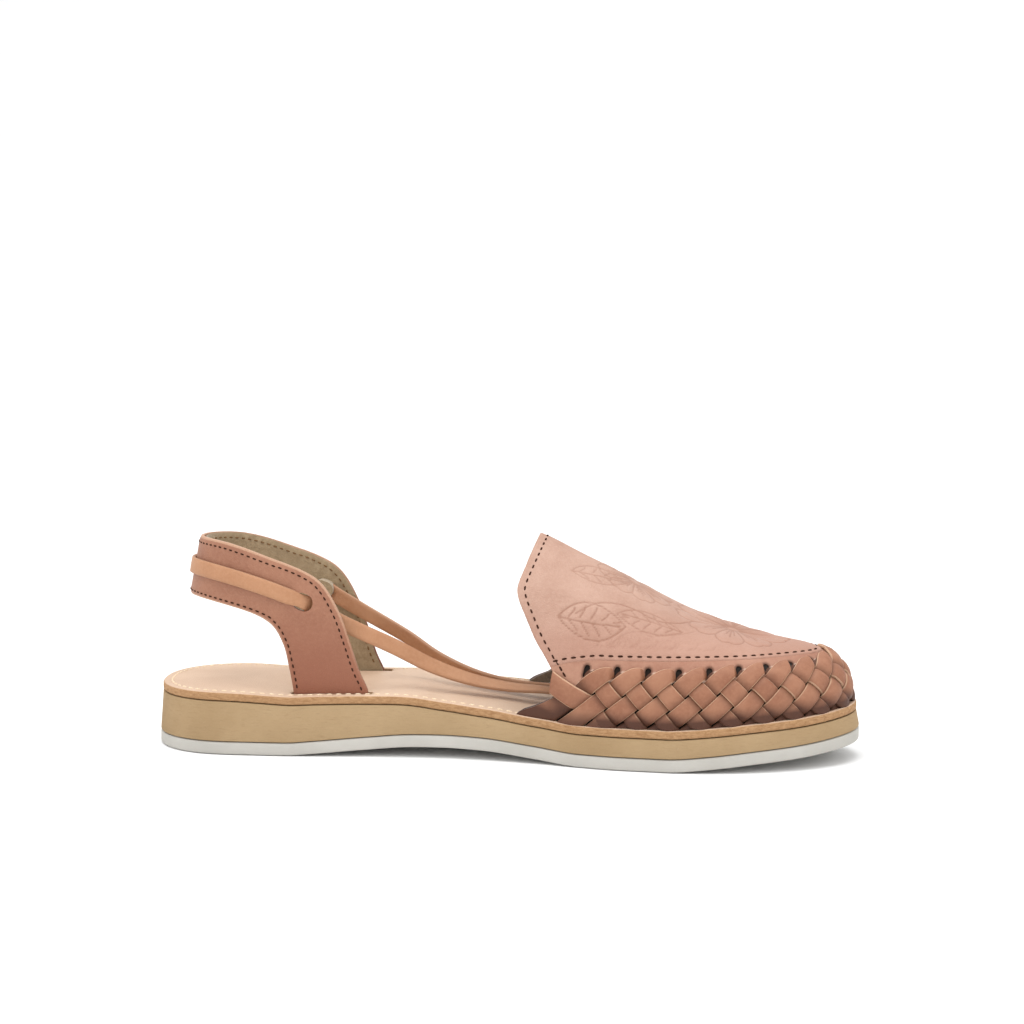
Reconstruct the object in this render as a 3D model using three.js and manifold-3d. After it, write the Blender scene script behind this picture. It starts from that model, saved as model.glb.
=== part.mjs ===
// Huarache sandal for the left foot, in millimetres.
// +X points to the toe, +Y to the outer side, +Z up. The origin is on the floor under the heel.
import * as THREE from 'three';
import Module from 'manifold-3d';

const wasm = await Module();
wasm.setup();

// Driving sizes of the sole
const soleLength = 250;
const ballWidth = 87;
const heelBehind = 30; // from the origin back to the heel's end
const heelRound = 30; // length of the rounded heel
const toeRound = 55; // length of the rounded toe
const roundPower = 2.2; // 2 is an ellipse, more is squarer
const archRise = 3.6;
const toeSpring = 6.4;
const outsoleThickness = 4.4;
const outsoleChamfer = 0.8;
const heelFoam = 14.0; // foam wedge under the heel
const foreFoam = 6.4; // and under the forefoot
const foamFlare = 1.0; // how far the foam's foot stands outside its top
const insoleThickness = 3.0;
const insoleRounding = 0.7;
const seatGap = 0.3; // between pieces that are glued or rest on each other

// Driving sizes of the vamp
const wallThickness = 1.6;
const featherInset = 4.0; // from the sole's outline to the wall's foot
const throatAlong = 136; // from the heel's end to the peak of the throat
const throatHeight = 77; // from the floor
const crestEnd = 222; // where the ridge meets the toe's curve
const hoodBack = 116; // where the uncut hood starts
const throatSlant = 5.5; // the outer side ends this much further back
const throatCorner = 0.3; // the slant turns about the inner corner, a share of ball width from the middle
const plugStep = 0.9; // tooled top plate over the band
const plugEdgeHeight = 37.1; // height of the plate's lower seam
const seamDip = 6; // the seam drops at the throat
const seamRise = 24; // and is level again this far forward
const bandStep = 0.5; // band over the wall
const bandWidth = 7; // from the plate's seam down to the band's edge

// Driving sizes of the braid
const stripPitch = 11;
const risingAngle = 38; // degrees, strips that climb to the toe
const fallingAngle = 48; // degrees, strips that fall to the toe
const braidRows = 4;
const braidStart = -1.3; // round the feather line from its back to the first strip
const braidFoot = 1.1; // middle of the lowest row above the insole
const topReach = 1.3; // the top row is this much longer, up to the band's slits
const braidThickness = 1.9; // crest of a strip over the wall
const braidBase = 0.35; // and between the strips
const gapSize = 0.34; // share of a pitch
const gapDepth = 4; // half the depth of the cut
const sunk = 1.0; // how deep the raised layers start in the wall
const crumbVolume = 0.5; // cubic mm

// Driving sizes of the heel strap
const strapThickness = 2.8;
const strapBack = 11.8; // from the heel's end to the strap's back at its lower edge
const strapHalfWidth = 23;
const strapShift = 1.2; // the legs' middle stands to the outer side
const strapRound = 33; // length of the round at the heel
const strapPower = 2.15; // 2 is an ellipse
const strapLowEdge = 52.8; // height of the lower edge at the heel
const strapLean = 0.19; // run of the back per rise
const strapTaper = 0.0022; // narrowing per height above the lower edge
const strapTopHeight = 74.8;
const legBack = 51.5; // from the heel's end to the back of a leg's foot
const legFront = 79;
const wallSpare = 6; // the bent wall is this much larger than the outline cut from it
const strapShear = 0.02; // the outer leg stands back
const strapDrop = 0.045; // and the outer side hangs lower
const slotClearance = 0.4; // round the legs in the insole

// Driving sizes of the lace
const laceWidth = 5.6;
const laceThickness = 1.2;
const holeAlong = 55.5;
const holeBelow = 21.2; // from the strap's top edge down to the middle of a hole
const laceBackBelow = 10.4; // and to the lace at the heel
const laceDip = 1.6; // the lace stays high at the heel, then falls to the holes
const laceEnd = 163;
const laceClearance = 0.4; // round the lace in its holes
const laceStandOff = 0.45; // from the strap's face
const holeReach = 8; // half the length of lace that the hole is cut for
const diveReach = 6.5; // the lace leaves the strap's face this far behind a hole

const radians = Math.PI / 180;

// A table's column as a smooth curve that never overshoots its rows
function columnCurve(rows, column, key = 'along') {
  const xs = rows.map((row) => row[key]);
  const ys = rows.map((row) => row[column]);
  const steps = xs.slice(1).map((x, i) => (ys[i + 1] - ys[i]) / (x - xs[i]));
  const slopes = xs.map((x, i) => {
    if (i === 0) return steps[0];
    if (i === xs.length - 1) return steps[i - 1];
    if (steps[i - 1] * steps[i] <= 0) return 0;
    return (2 * steps[i - 1] * steps[i]) / (steps[i - 1] + steps[i]);
  });
  return (x) => {
    if (x <= xs[0]) return ys[0] + slopes[0] * (x - xs[0]);
    const last = xs.length - 1;
    if (x >= xs[last]) return ys[last] + slopes[last] * (x - xs[last]);
    const i = xs.findIndex((value) => value > x) - 1;
    const width = xs[i + 1] - xs[i];
    const t = (x - xs[i]) / width;
    const s = 1 - t;
    return ys[i] * s * s * (1 + 2 * t) + slopes[i] * width * t * s * s
      + ys[i + 1] * t * t * (3 - 2 * t) - slopes[i + 1] * width * t * t * s;
  };
}

// Plan of the sole: half its width and the lean of its middle to the inner side, as shares of ball width
const plan = [
  { along: 0.00, half: 0.359, lean: 0.000 },
  { along: 0.18, half: 0.359, lean: -0.003 },
  { along: 0.24, half: 0.353, lean: -0.009 },
  { along: 0.32, half: 0.343, lean: -0.022 },
  { along: 0.40, half: 0.349, lean: -0.036 },
  { along: 0.48, half: 0.378, lean: -0.046 },
  { along: 0.56, half: 0.426, lean: -0.046 },
  { along: 0.62, half: 0.467, lean: -0.034 },
  { along: 0.68, half: 0.491, lean: -0.018 },
  { along: 0.74, half: 0.491, lean: 0.001 },
  { along: 0.82, half: 0.458, lean: 0.026 },
  { along: 0.88, half: 0.424, lean: 0.044 },
  { along: 1.00, half: 0.372, lean: 0.058 },
];

// Side of the sole: shares of arch rise, toe spring and of the wedge from forefoot to heel
const profile = [
  { along: 0.00, arch: 0.00, spring: 0.00, wedge: 1.00 },
  { along: 0.10, arch: 0.00, spring: 0.00, wedge: 1.00 },
  { along: 0.20, arch: 0.00, spring: 0.00, wedge: 0.86 },
  { along: 0.24, arch: 0.20, spring: 0.00, wedge: 0.80 },
  { along: 0.31, arch: 0.62, spring: 0.00, wedge: 0.64 },
  { along: 0.38, arch: 0.98, spring: 0.00, wedge: 0.43 },
  { along: 0.42, arch: 1.00, spring: 0.00, wedge: 0.24 },
  { along: 0.48, arch: 0.88, spring: 0.00, wedge: 0.07 },
  { along: 0.55, arch: 0.42, spring: 0.00, wedge: 0.00 },
  { along: 0.62, arch: 0.00, spring: 0.00, wedge: 0.00 },
  { along: 0.74, arch: 0.00, spring: 0.00, wedge: 0.00 },
  { along: 0.80, arch: 0.00, spring: 0.17, wedge: -0.02 },
  { along: 0.86, arch: 0.00, spring: 0.42, wedge: -0.05 },
  { along: 0.93, arch: 0.00, spring: 0.66, wedge: -0.08 },
  { along: 1.00, arch: 0.00, spring: 1.00, wedge: -0.10 },
];

const planHalf = columnCurve(plan, 'half');
const planLean = columnCurve(plan, 'lean');
const archShare = columnCurve(profile, 'arch');
const springShare = columnCurve(profile, 'spring');
const wedgeShare = columnCurve(profile, 'wedge');

function roundedEnd(inward) {
  const u = THREE.MathUtils.clamp(1 - inward, 0, 1);
  return Math.pow(1 - Math.pow(u, roundPower), 1 / roundPower);
}

// Lengths along the shoe are counted from the heel's end; side is -1 inner, 1 outer
function outlinePoint(side, along) {
  const share = along / soleLength;
  const ends = roundedEnd(along / heelRound) * roundedEnd((soleLength - along) / toeRound);
  const half = planHalf(share) * ballWidth * ends;
  return new THREE.Vector2(along - heelBehind, side * half - planLean(share) * ballWidth);
}

const soleBottom = (along) => archShare(along / soleLength) * archRise
  + springShare(along / soleLength) * toeSpring;
const foamBottom = (along) => soleBottom(along) + outsoleThickness + seatGap;
const foamTop = (along) => foamBottom(along) + foreFoam
  + wedgeShare(along / soleLength) * (heelFoam - foreFoam);
const insoleBottom = (along) => foamTop(along) + seatGap;
const insoleTop = (along) => insoleBottom(along) + insoleThickness;

function solidFrom(points, triangles) {
  const vertProperties = new Float32Array(points.flatMap((p) => [p.x, p.y, p.z]));
  const triVerts = new Uint32Array(triangles.flat());
  return new wasm.Manifold(new wasm.Mesh({ numProp: 3, vertProperties, triVerts }));
}

// Sole layers: rings of the outline, stacked, closed by rungs from the inner to the outer side
const soleStations = 38;

function outlineRing(inset, height) {
  const alongs = [];
  for (let i = 0; i <= soleStations; i += 1) {
    alongs.push(soleLength * (0.5 - 0.5 * Math.cos((Math.PI * i) / soleStations)));
  }
  const inner = alongs.map((along) => ({ along, at: outlinePoint(-1, along) }));
  const outer = alongs.slice(1, -1).reverse().map((along) => ({ along, at: outlinePoint(1, along) }));
  const ring = inner.concat(outer);
  return ring.map(({ along, at }, i) => {
    const before = ring[(i + ring.length - 1) % ring.length].at;
    const after = ring[(i + 1) % ring.length].at;
    const run = after.clone().sub(before).normalize();
    return new THREE.Vector3(at.x - run.y * inset, at.y + run.x * inset, height(along));
  });
}

function stackRings(rings) {
  const size = rings[0].length;
  const half = size / 2;
  const points = rings.flat();
  const triangles = [];
  for (let level = 0; level < rings.length - 1; level += 1) {
    for (let i = 0; i < size; i += 1) {
      const a = level * size + i;
      const b = level * size + ((i + 1) % size);
      triangles.push([a, b, b + size], [a, b + size, a + size]);
    }
  }
  const top = (rings.length - 1) * size;
  for (let i = 0; i < half; i += 1) {
    const a = i;
    const b = i + 1;
    const c = (size - i) % size;
    const d = size - i - 1;
    if (a !== c) {
      triangles.push([a, c, b], [top + a, top + b, top + c]);
    }
    if (b !== d) {
      triangles.push([b, c, d], [top + b, top + d, top + c]);
    }
  }
  return solidFrom(points, triangles);
}

function makeOutsole() {
  const top = (along) => soleBottom(along) + outsoleThickness;
  return stackRings([
    outlineRing(outsoleChamfer, soleBottom),
    outlineRing(0, (along) => soleBottom(along) + outsoleChamfer),
    outlineRing(0, top),
  ]);
}

function makeMidsole() {
  return stackRings([outlineRing(0, foamBottom), outlineRing(foamFlare, foamTop)]);
}

function makeInsoleBlank() {
  return stackRings([
    outlineRing(foamFlare + insoleRounding * 0.5, insoleBottom),
    outlineRing(foamFlare, (along) => insoleBottom(along) + insoleRounding),
    outlineRing(foamFlare, (along) => insoleTop(along) - insoleRounding),
    outlineRing(foamFlare + insoleRounding * 0.9, insoleTop),
  ]);
}

// Patches: a sheet of quads given outer and inner distances from its points, closed at its rim
function thickenPatch(points, quads, outward, inward) {
  const normals = points.map(() => new THREE.Vector3());
  quads.forEach((quad) => {
    const [a, b, c, d] = quad.map((index) => points[index]);
    const normal = c.clone().sub(a).cross(d.clone().sub(b));
    quad.forEach((index) => normals[index].add(normal));
  });
  normals.forEach((normal) => normal.normalize());
  const count = points.length;
  const outer = points.map((p, i) => p.clone().addScaledVector(normals[i], outward(i)));
  const inner = points.map((p, i) => p.clone().addScaledVector(normals[i], -inward(i)));
  const triangles = [];
  const rim = new Map();
  quads.forEach((quad) => {
    const corners = quad.filter((index, i) => index !== quad[(i + 1) % 4]);
    for (let i = 2; i < corners.length; i += 1) {
      triangles.push([corners[0], corners[i - 1], corners[i]]);
      triangles.push([corners[0] + count, corners[i] + count, corners[i - 1] + count]);
    }
    corners.forEach((a, i) => {
      const b = corners[(i + 1) % corners.length];
      if (rim.has(`${b}_${a}`)) rim.delete(`${b}_${a}`);
      else rim.set(`${a}_${b}`, [a, b]);
    });
  });
  rim.forEach(([a, b]) => {
    triangles.push([a, a + count, b + count], [a, b + count, b]);
  });
  return solidFrom(outer.concat(inner), triangles);
}

function gridPatch(columns, rows, pointAt, outward, inward) {
  const points = [];
  const quads = [];
  for (let i = 0; i <= columns; i += 1) {
    for (let j = 0; j <= rows; j += 1) {
      points.push(pointAt(i / columns, j / rows));
      if (i > 0 && j > 0) {
        const corner = points.length - 1;
        quads.push([corner - rows - 2, corner - 1, corner, corner - rows - 1]);
      }
    }
  }
  return thickenPatch(points, quads, outward, inward);
}

// A side view outline drawn through the shoe, its outer end moved by the slant
function sidePrism(outline, slide = () => [0, 0]) {
  const reach = ballWidth;
  const shape = new THREE.Shape(outline);
  const geometry = new THREE.ExtrudeGeometry(shape, { depth: 2 * reach, bevelEnabled: false });
  geometry.deleteAttribute('normal');
  geometry.deleteAttribute('uv');
  const position = geometry.attributes.position;
  const points = [];
  const lookup = new Map();
  const indices = [];
  for (let i = 0; i < position.count; i += 1) {
    const key = [position.getX(i), position.getY(i), position.getZ(i)].map((v) => v.toFixed(4)).join();
    if (!lookup.has(key)) {
      const y = reach - position.getZ(i);
      const [slideX, slideZ] = slide(y);
      lookup.set(key, points.length);
      points.push(new THREE.Vector3(position.getX(i) + slideX, y, position.getY(i) + slideZ));
    }
    indices.push(lookup.get(key));
  }
  const triangles = [];
  for (let i = 0; i < indices.length; i += 3) {
    triangles.push([indices[i], indices[i + 1], indices[i + 2]]);
  }
  return solidFrom(points, triangles);
}

// The last's form over the insole: sections from each side's feather line up to the ridge
const ridge = [
  { along: 0.44, rise: 1.085, lean: 0.000, shoulder: 0.68, spread: 0.42, crown: 0.94 },
  { along: 0.544, rise: 1.000, lean: 0.000, shoulder: 0.68, spread: 0.42, crown: 0.94 },
  { along: 0.57, rise: 0.964, lean: 0.002, shoulder: 0.69, spread: 0.42, crown: 0.95 },
  { along: 0.63, rise: 0.856, lean: 0.006, shoulder: 0.72, spread: 0.42, crown: 0.96 },
  { along: 0.69, rise: 0.720, lean: 0.010, shoulder: 0.76, spread: 0.42, crown: 0.97 },
  { along: 0.74, rise: 0.599, lean: 0.016, shoulder: 0.80, spread: 0.42, crown: 0.98 },
  { along: 0.80, rise: 0.486, lean: 0.024, shoulder: 0.80, spread: 0.42, crown: 0.99 },
  { along: 0.86, rise: 0.399, lean: 0.032, shoulder: 0.78, spread: 0.40, crown: 1.00 },
  { along: 0.89, rise: 0.380, lean: 0.036, shoulder: 0.76, spread: 0.38, crown: 1.00 },
];
const ridgeRise = columnCurve(ridge, 'rise');
const ridgeLean = columnCurve(ridge, 'lean');
const ridgeShoulder = columnCurve(ridge, 'shoulder');
const ridgeSpread = columnCurve(ridge, 'spread');
const ridgeCrown = columnCurve(ridge, 'crown');

// How far the wall swells past its foot, as shares of ball width, inner and outer side
const belly = [
  { along: 0.44, inner: 0.062, outer: 0.020 },
  { along: 0.56, inner: 0.055, outer: 0.018 },
  { along: 0.66, inner: 0.026, outer: 0.016 },
  { along: 0.80, inner: 0.018, outer: 0.018 },
  { along: 1.00, inner: 0.010, outer: 0.010 },
];
const bellyInner = columnCurve(belly, 'inner');
const bellyOuter = columnCurve(belly, 'outer');

// The feather line of one side, from the hood's back to the toe, evenly spaced by length
function featherLine(side) {
  const points = [];
  const count = 120;
  for (let i = 0; i <= count; i += 1) {
    const along = hoodBack + (soleLength - hoodBack) * Math.sin((Math.PI / 2) * (i / count));
    const at = outlinePoint(side, along);
    const nudge = 0.02;
    const near = outlinePoint(side, Math.max(along - nudge, 0));
    const run = i === count ? new THREE.Vector2(0, -side) : at.clone().sub(near).normalize();
    const out = new THREE.Vector2(-run.y, run.x).multiplyScalar(side);
    const foot = at.clone().addScaledVector(out, -featherInset);
    points.push({ foot, out, along: foot.x + heelBehind, length: 0 });
  }
  for (let i = 1; i <= count; i += 1) {
    points[i].length = points[i - 1].length + points[i].foot.distanceTo(points[i - 1].foot);
  }
  return points;
}

const feather = { '-1': featherLine(-1), 1: featherLine(1) };
const innerLength = feather['-1'].at(-1).length;
const outerLength = feather['1'].at(-1).length;
const roundLength = innerLength + outerLength;

function featherAt(side, share) {
  const line = feather[side];
  const target = share * line.at(-1).length;
  let i = line.findIndex((entry) => entry.length >= target);
  if (i < 1) i = 1;
  const a = line[i - 1];
  const b = line[i];
  const t = THREE.MathUtils.clamp((target - a.length) / (b.length - a.length), 0, 1);
  return {
    foot: a.foot.clone().lerp(b.foot, t),
    out: a.out.clone().lerp(b.out, t).normalize(),
    along: THREE.MathUtils.lerp(a.along, b.along, t),
  };
}

const crestLag = 0.82; // the ridge's first point behind the throat, as a share of the uncut hood there
const crestPower = 1.4; // more spreads the sections back along the ridge
const crestBack = throatAlong - crestLag * (throatAlong - hoodBack);
const peakRise = throatHeight - insoleTop(throatAlong) - plugStep;

function hoodSection(side, share) {
  const { foot, out, along } = featherAt(side, share);
  const crestAlong = crestBack + (crestEnd - crestBack) * (1 - Math.pow(1 - share, crestPower));
  const s = crestAlong / soleLength;
  const rise = ridgeRise(s) * peakRise;
  const swell = (side < 0 ? bellyInner : bellyOuter)(along / soleLength) * ballWidth;
  const floor = insoleTop(along);
  const crestFloor = insoleTop(crestAlong);
  const start = new THREE.Vector3(foot.x, foot.y, floor);
  const crest = new THREE.Vector3(crestAlong - heelBehind, -ridgeLean(s) * ballWidth, crestFloor + rise);
  const shoulder = new THREE.Vector3(
    foot.x + out.x * swell,
    foot.y + out.y * swell,
    floor + ridgeShoulder(s) * rise,
  );
  const crown = crest.clone().lerp(new THREE.Vector3(foot.x, foot.y, crest.z), ridgeSpread(s));
  crown.z = crestFloor + ridgeCrown(s) * rise;
  const curve = new THREE.CubicBezierCurve3(start, shoulder, crown, crest);
  curve.arcLengthDivisions = 24;
  return curve;
}

// A point of the hood by its distance round the feather line and its distance up the wall
function hoodPoint(round, up) {
  const side = round <= innerLength ? -1 : 1;
  const share = side < 0 ? round / innerLength : (roundLength - round) / outerLength;
  const curve = hoodSection(side, THREE.MathUtils.clamp(share, 0, 1));
  const length = curve.getLength();
  if (up >= 0) return curve.getPointAt(Math.min(up / length, 1));
  const start = curve.getPointAt(0);
  return start.addScaledVector(curve.getTangentAt(0), up);
}

const hoodStations = 20;
const hoodSteps = 6;
const hoodSkirt = -2; // the hood reaches below the insole's top before it is cut

function hoodShell(outward, inward) {
  const points = [];
  const quads = [];
  const width = 2 * hoodSteps + 1;
  for (let i = 0; i <= hoodStations; i += 1) {
    const share = i / hoodStations;
    const inner = hoodSection(-1, share);
    const outer = hoodSection(1, share);
    const bend = (j) => Math.sin((Math.PI / 2) * (j / hoodSteps));
    for (let j = 0; j < width; j += 1) {
      const curve = j <= hoodSteps ? inner : outer;
      const step = j <= hoodSteps ? j : 2 * hoodSteps - j;
      const point = curve.getPointAt(0.5 * (step / hoodSteps + bend(step)));
      if (step === 0) point.z += hoodSkirt;
      points.push(point);
    }
  }
  // At the toe the two halves of the last section are the same points
  const last = hoodStations * width;
  const merged = (index) => (index > last + hoodSteps ? last + 2 * hoodSteps - (index - last) : index);
  for (let i = 0; i < hoodStations; i += 1) {
    for (let j = 0; j < width - 1; j += 1) {
      const a = i * width + j;
      quads.push([a, a + width, a + width + 1, a + 1].map(merged));
    }
  }
  const used = last + hoodSteps + 1;
  return thickenPatch(points.slice(0, used), quads, () => outward, () => inward);
}

// Weave: a lattice of crossings, each with one strip over and its neighbours dipping under it
const rowHeight = stripPitch / (1 / Math.tan(risingAngle * radians) + 1 / Math.tan(fallingAngle * radians));
const stripCount = Math.floor(roundLength / stripPitch) - 1;

function latticePoint(a, b) {
  const up = rowHeight * (b - a);
  const round = braidStart + stripPitch * a + up / Math.tan(risingAngle * radians);
  return hoodPoint(round, up + braidFoot);
}

// Lines across a crossing: where they meet its rim, and where they run inside it, along and across its strip
const crossing = [
  { rim: 0.00, along: 0.00, across: 0.00 },
  { rim: 0.14, along: 0.17, across: 0.07 },
  { rim: 0.86, along: 0.83, across: 0.93 },
  { rim: 1.00, along: 1.00, across: 1.00 },
];

function makeBraid() {
  const points = [];
  const heights = [];
  const lookup = new Map();
  const quads = [];
  const place = (a, b, height) => {
    const key = `${a.toFixed(3)}_${b.toFixed(3)}`;
    if (!lookup.has(key)) {
      lookup.set(key, points.length);
      points.push(latticePoint(a, b));
      heights.push(height);
    }
    return lookup.get(key);
  };
  const last = crossing.length - 1;
  for (let row = 0; row < braidRows; row += 1) {
    const risingOver = row % 2 === 1;
    const stretch = row === braidRows - 1 ? topReach : 1;
    for (let i = 1; i < stripCount; i += 1) {
      const grid = crossing.map((first, m) => crossing.map((second, n) => {
        const inside = m > 0 && m < last && n > 0 && n < last;
        const u = inside ? first[risingOver ? 'across' : 'along'] : first.rim;
        const v = inside ? second[risingOver ? 'along' : 'across'] : second.rim;
        return place(i + u, i + row + stretch * v, inside ? braidThickness : braidBase);
      }));
      for (let m = 0; m < last; m += 1) {
        for (let n = 0; n < last; n += 1) {
          quads.push([grid[m][n], grid[m + 1][n], grid[m + 1][n + 1], grid[m][n + 1]]);
        }
      }
    }
  }
  return thickenPatch(points, quads, (i) => heights[i], () => sunk);
}

// Small openings where the top row dives into the band, and between the lowest strips.
// Their places are in rows above the foot and in pitches from a strip's lower edge.
const gapRows = [
  { row: braidRows - 1 + 0.77, pitches: 0.7 },
  { row: 0.5, pitches: 0.24 },
];
const gapFoot = 1.2; // width of a gap's foot and head, as shares of its middle
const gapHead = 0.6;
const gapHeight = 0.42; // share of a row

function makeGaps() {
  const size = gapSize * stripPitch;
  const rise = rowHeight * gapHeight;
  const gaps = [];
  gapRows.forEach(({ row, pitches }) => {
    for (let i = 1; i < stripCount - 1; i += 1) {
      const up = rowHeight * row;
      const round = braidStart + stripPitch * (i + pitches) + up / Math.tan(risingAngle * radians);
      const widthAt = (v) => size * THREE.MathUtils.lerp(gapFoot, gapHead, v);
      const pointAt = (u, v) => hoodPoint(round + widthAt(v) * (u - 0.5), up + braidFoot + rise * (v - 0.5));
      gaps.push(gridPatch(1, 1, pointAt, () => gapDepth, () => gapDepth));
    }
  });
  return gaps;
}

// Side view of the throat from the tail of the braid to the peak, from the peak in X, from the floor in Z
const throat = [
  { ahead: -0.022, up: 0.080 },
  { ahead: -0.022, up: 0.208 },
  { ahead: 0.010, up: 0.264 },
  { ahead: 0.033, up: 0.305 },
  { ahead: 0.037, up: 0.340 },
  { ahead: 0.036, up: 0.405 },
  { ahead: 0.023, up: 0.484 },
  { ahead: 0.009, up: 0.556 },
  { ahead: -0.005, up: 0.650 },
  { ahead: -0.016, up: 0.728 },
  { ahead: -0.018, up: 0.785 },
  { ahead: -0.008, up: 0.870 },
  { ahead: 0.010, up: 1.000 },
  { ahead: 0.034, up: 1.160 },
];

const behindHood = hoodBack - heelBehind - soleLength * 0.1;
const aboveAll = throatHeight * 1.5;
const throatSlide = (y) => [-(throatSlant / ballWidth) * (y + throatCorner * ballWidth), 0];

function sideOutline(rows, length, height, start, tension = 0.5) {
  const corners = rows.map((row) => new THREE.Vector3(start + row.ahead * length, row.up * height, 0));
  const curve = new THREE.CatmullRomCurve3(corners, false, 'catmullrom', tension);
  const points = curve.getPoints(rows.length * 2);
  return points.map((p) => new THREE.Vector2(p.x, p.y));
}

function throatCutter() {
  const peak = throatAlong - heelBehind;
  const front = sideOutline(throat, soleLength, throatHeight, peak);
  const outline = [new THREE.Vector2(behindHood, front[0].y)].concat(front);
  outline.push(new THREE.Vector2(behindHood, front.at(-1).y));
  return sidePrism(outline.reverse(), throatSlide);
}

// The plate's region in side view: above its lower seam, which dips at the throat.
// The band's region is the same outline, lowered.
const seam = [
  { ahead: 0.00, drop: 1.00 },
  { ahead: 0.36, drop: 0.48 },
  { ahead: 0.61, drop: 0.22 },
  { ahead: 1.00, drop: 0.00 },
];
const seamDrop = columnCurve(seam, 'drop', 'ahead');

function seamRegion(lower) {
  const corner = throatAlong - heelBehind;
  const steps = 5;
  const outline = [new THREE.Vector2(soleLength, aboveAll), new THREE.Vector2(behindHood, aboveAll)];
  outline.push(new THREE.Vector2(behindHood, plugEdgeHeight - lower - seamDip));
  for (let i = 0; i <= steps; i += 1) {
    const ahead = i / steps;
    outline.push(new THREE.Vector2(corner + ahead * seamRise, plugEdgeHeight - lower - seamDrop(ahead) * seamDip));
  }
  outline.push(new THREE.Vector2(soleLength, plugEdgeHeight - lower));
  return sidePrism(outline, throatSlide);
}

// All that lies above a side view curve, up to a level
function aboveCurve(from, to, curve, high) {
  const steps = 40;
  const outline = [];
  for (let i = 0; i <= steps; i += 1) {
    const along = THREE.MathUtils.lerp(from, to, i / steps);
    outline.push(new THREE.Vector2(along - heelBehind, curve(along)));
  }
  outline.push(new THREE.Vector2(to - heelBehind, high));
  outline.push(new THREE.Vector2(from - heelBehind, high));
  return sidePrism(outline);
}

function aboveInsole() {
  const low = (along) => insoleTop(Math.min(along, soleLength)) + seatGap;
  return aboveCurve(behindHood + heelBehind, soleLength + 2 * wallThickness, low, aboveAll);
}

// Where a cutter grazes a strip's edge it leaves specks, which no leather keeps
function withoutCrumbs(solid) {
  const pieces = solid.decompose().filter((piece) => piece.volume() > crumbVolume);
  return pieces.reduce((whole, piece) => whole.add(piece));
}

function makeVamp() {
  let vamp = hoodShell(0, wallThickness);
  vamp = vamp.add(hoodShell(bandStep, sunk).intersect(seamRegion(bandWidth)));
  vamp = vamp.add(hoodShell(plugStep, sunk).intersect(seamRegion(0)));
  vamp = vamp.add(makeBraid());
  makeGaps().forEach((gap) => {
    vamp = vamp.subtract(gap);
  });
  vamp = vamp.subtract(throatCutter()).intersect(aboveInsole());
  return withoutCrumbs(vamp);
}

// Heel strap: a wall bent round the heel, cut to the strap's side view
const strapSide = [
  { ahead: 0.000, up: 1.000 },
  { ahead: 0.150, up: 1.000 },
  { ahead: 0.300, up: 0.992 },
  { ahead: 0.400, up: 0.973 },
  { ahead: 0.515, up: 0.936 },
  { ahead: 0.700, up: 0.864 },
  { ahead: 0.792, up: 0.796 },
  { ahead: 0.862, up: 0.672 },
  { ahead: 0.907, up: 0.541 },
  { ahead: 0.950, up: 0.400 },
  { ahead: 0.988, up: 0.310 },
  { ahead: 1.000, up: 0.240 },
];
const strapUnderside = [
  { ahead: 0.655, up: 0.240 },
  { ahead: 0.653, up: 0.300 },
  { ahead: 0.634, up: 0.410 },
  { ahead: 0.608, up: 0.519 },
  { ahead: 0.550, up: 0.614 },
  { ahead: 0.430, up: 0.673 },
  { ahead: 0.210, up: 0.718 },
  { ahead: 0.000, up: 0.728 },
];

// Half of the bent wall's plan runs from ahead of the leg (0) to the middle of the heel (1)
const wallFront = legFront + wallSpare;
const wallLow = insoleBottom(legBack) - wallSpare;
const wallHigh = strapTopHeight + wallSpare;
const arcShare = 1.35; // length of the bent part over the length of the round
const strapArc = strapRound * arcShare;
const strapBackAt = (height) => strapBack + (height - strapLowEdge) * strapLean;
const wallLength = (height) => wallFront - strapBackAt(height) - strapRound + strapArc;

function strapPoint(side, share, height, outward) {
  const back = strapBackAt(height);
  const taper = 1 - strapTaper * Math.max(height - strapLowEdge, 0);
  const straight = wallFront - (back + strapRound);
  const run = share * wallLength(height);
  let x = wallFront - run;
  let y = strapHalfWidth * taper;
  let normal = new THREE.Vector2(0, 1);
  if (run > straight) {
    const angle = ((run - straight) / strapArc) * (Math.PI / 2);
    const power = 2 / strapPower;
    const cos = Math.pow(Math.max(Math.cos(angle), 0), power);
    const sin = Math.pow(Math.sin(angle), power);
    x = back + strapRound - strapRound * sin;
    y = strapHalfWidth * taper * cos;
    normal = new THREE.Vector2(-Math.sin(angle) / strapRound, Math.cos(angle) / strapHalfWidth).normalize();
  }
  return new THREE.Vector3(
    x - heelBehind + normal.x * outward,
    side * (y + normal.y * outward) + strapShift,
    height,
  );
}

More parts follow.
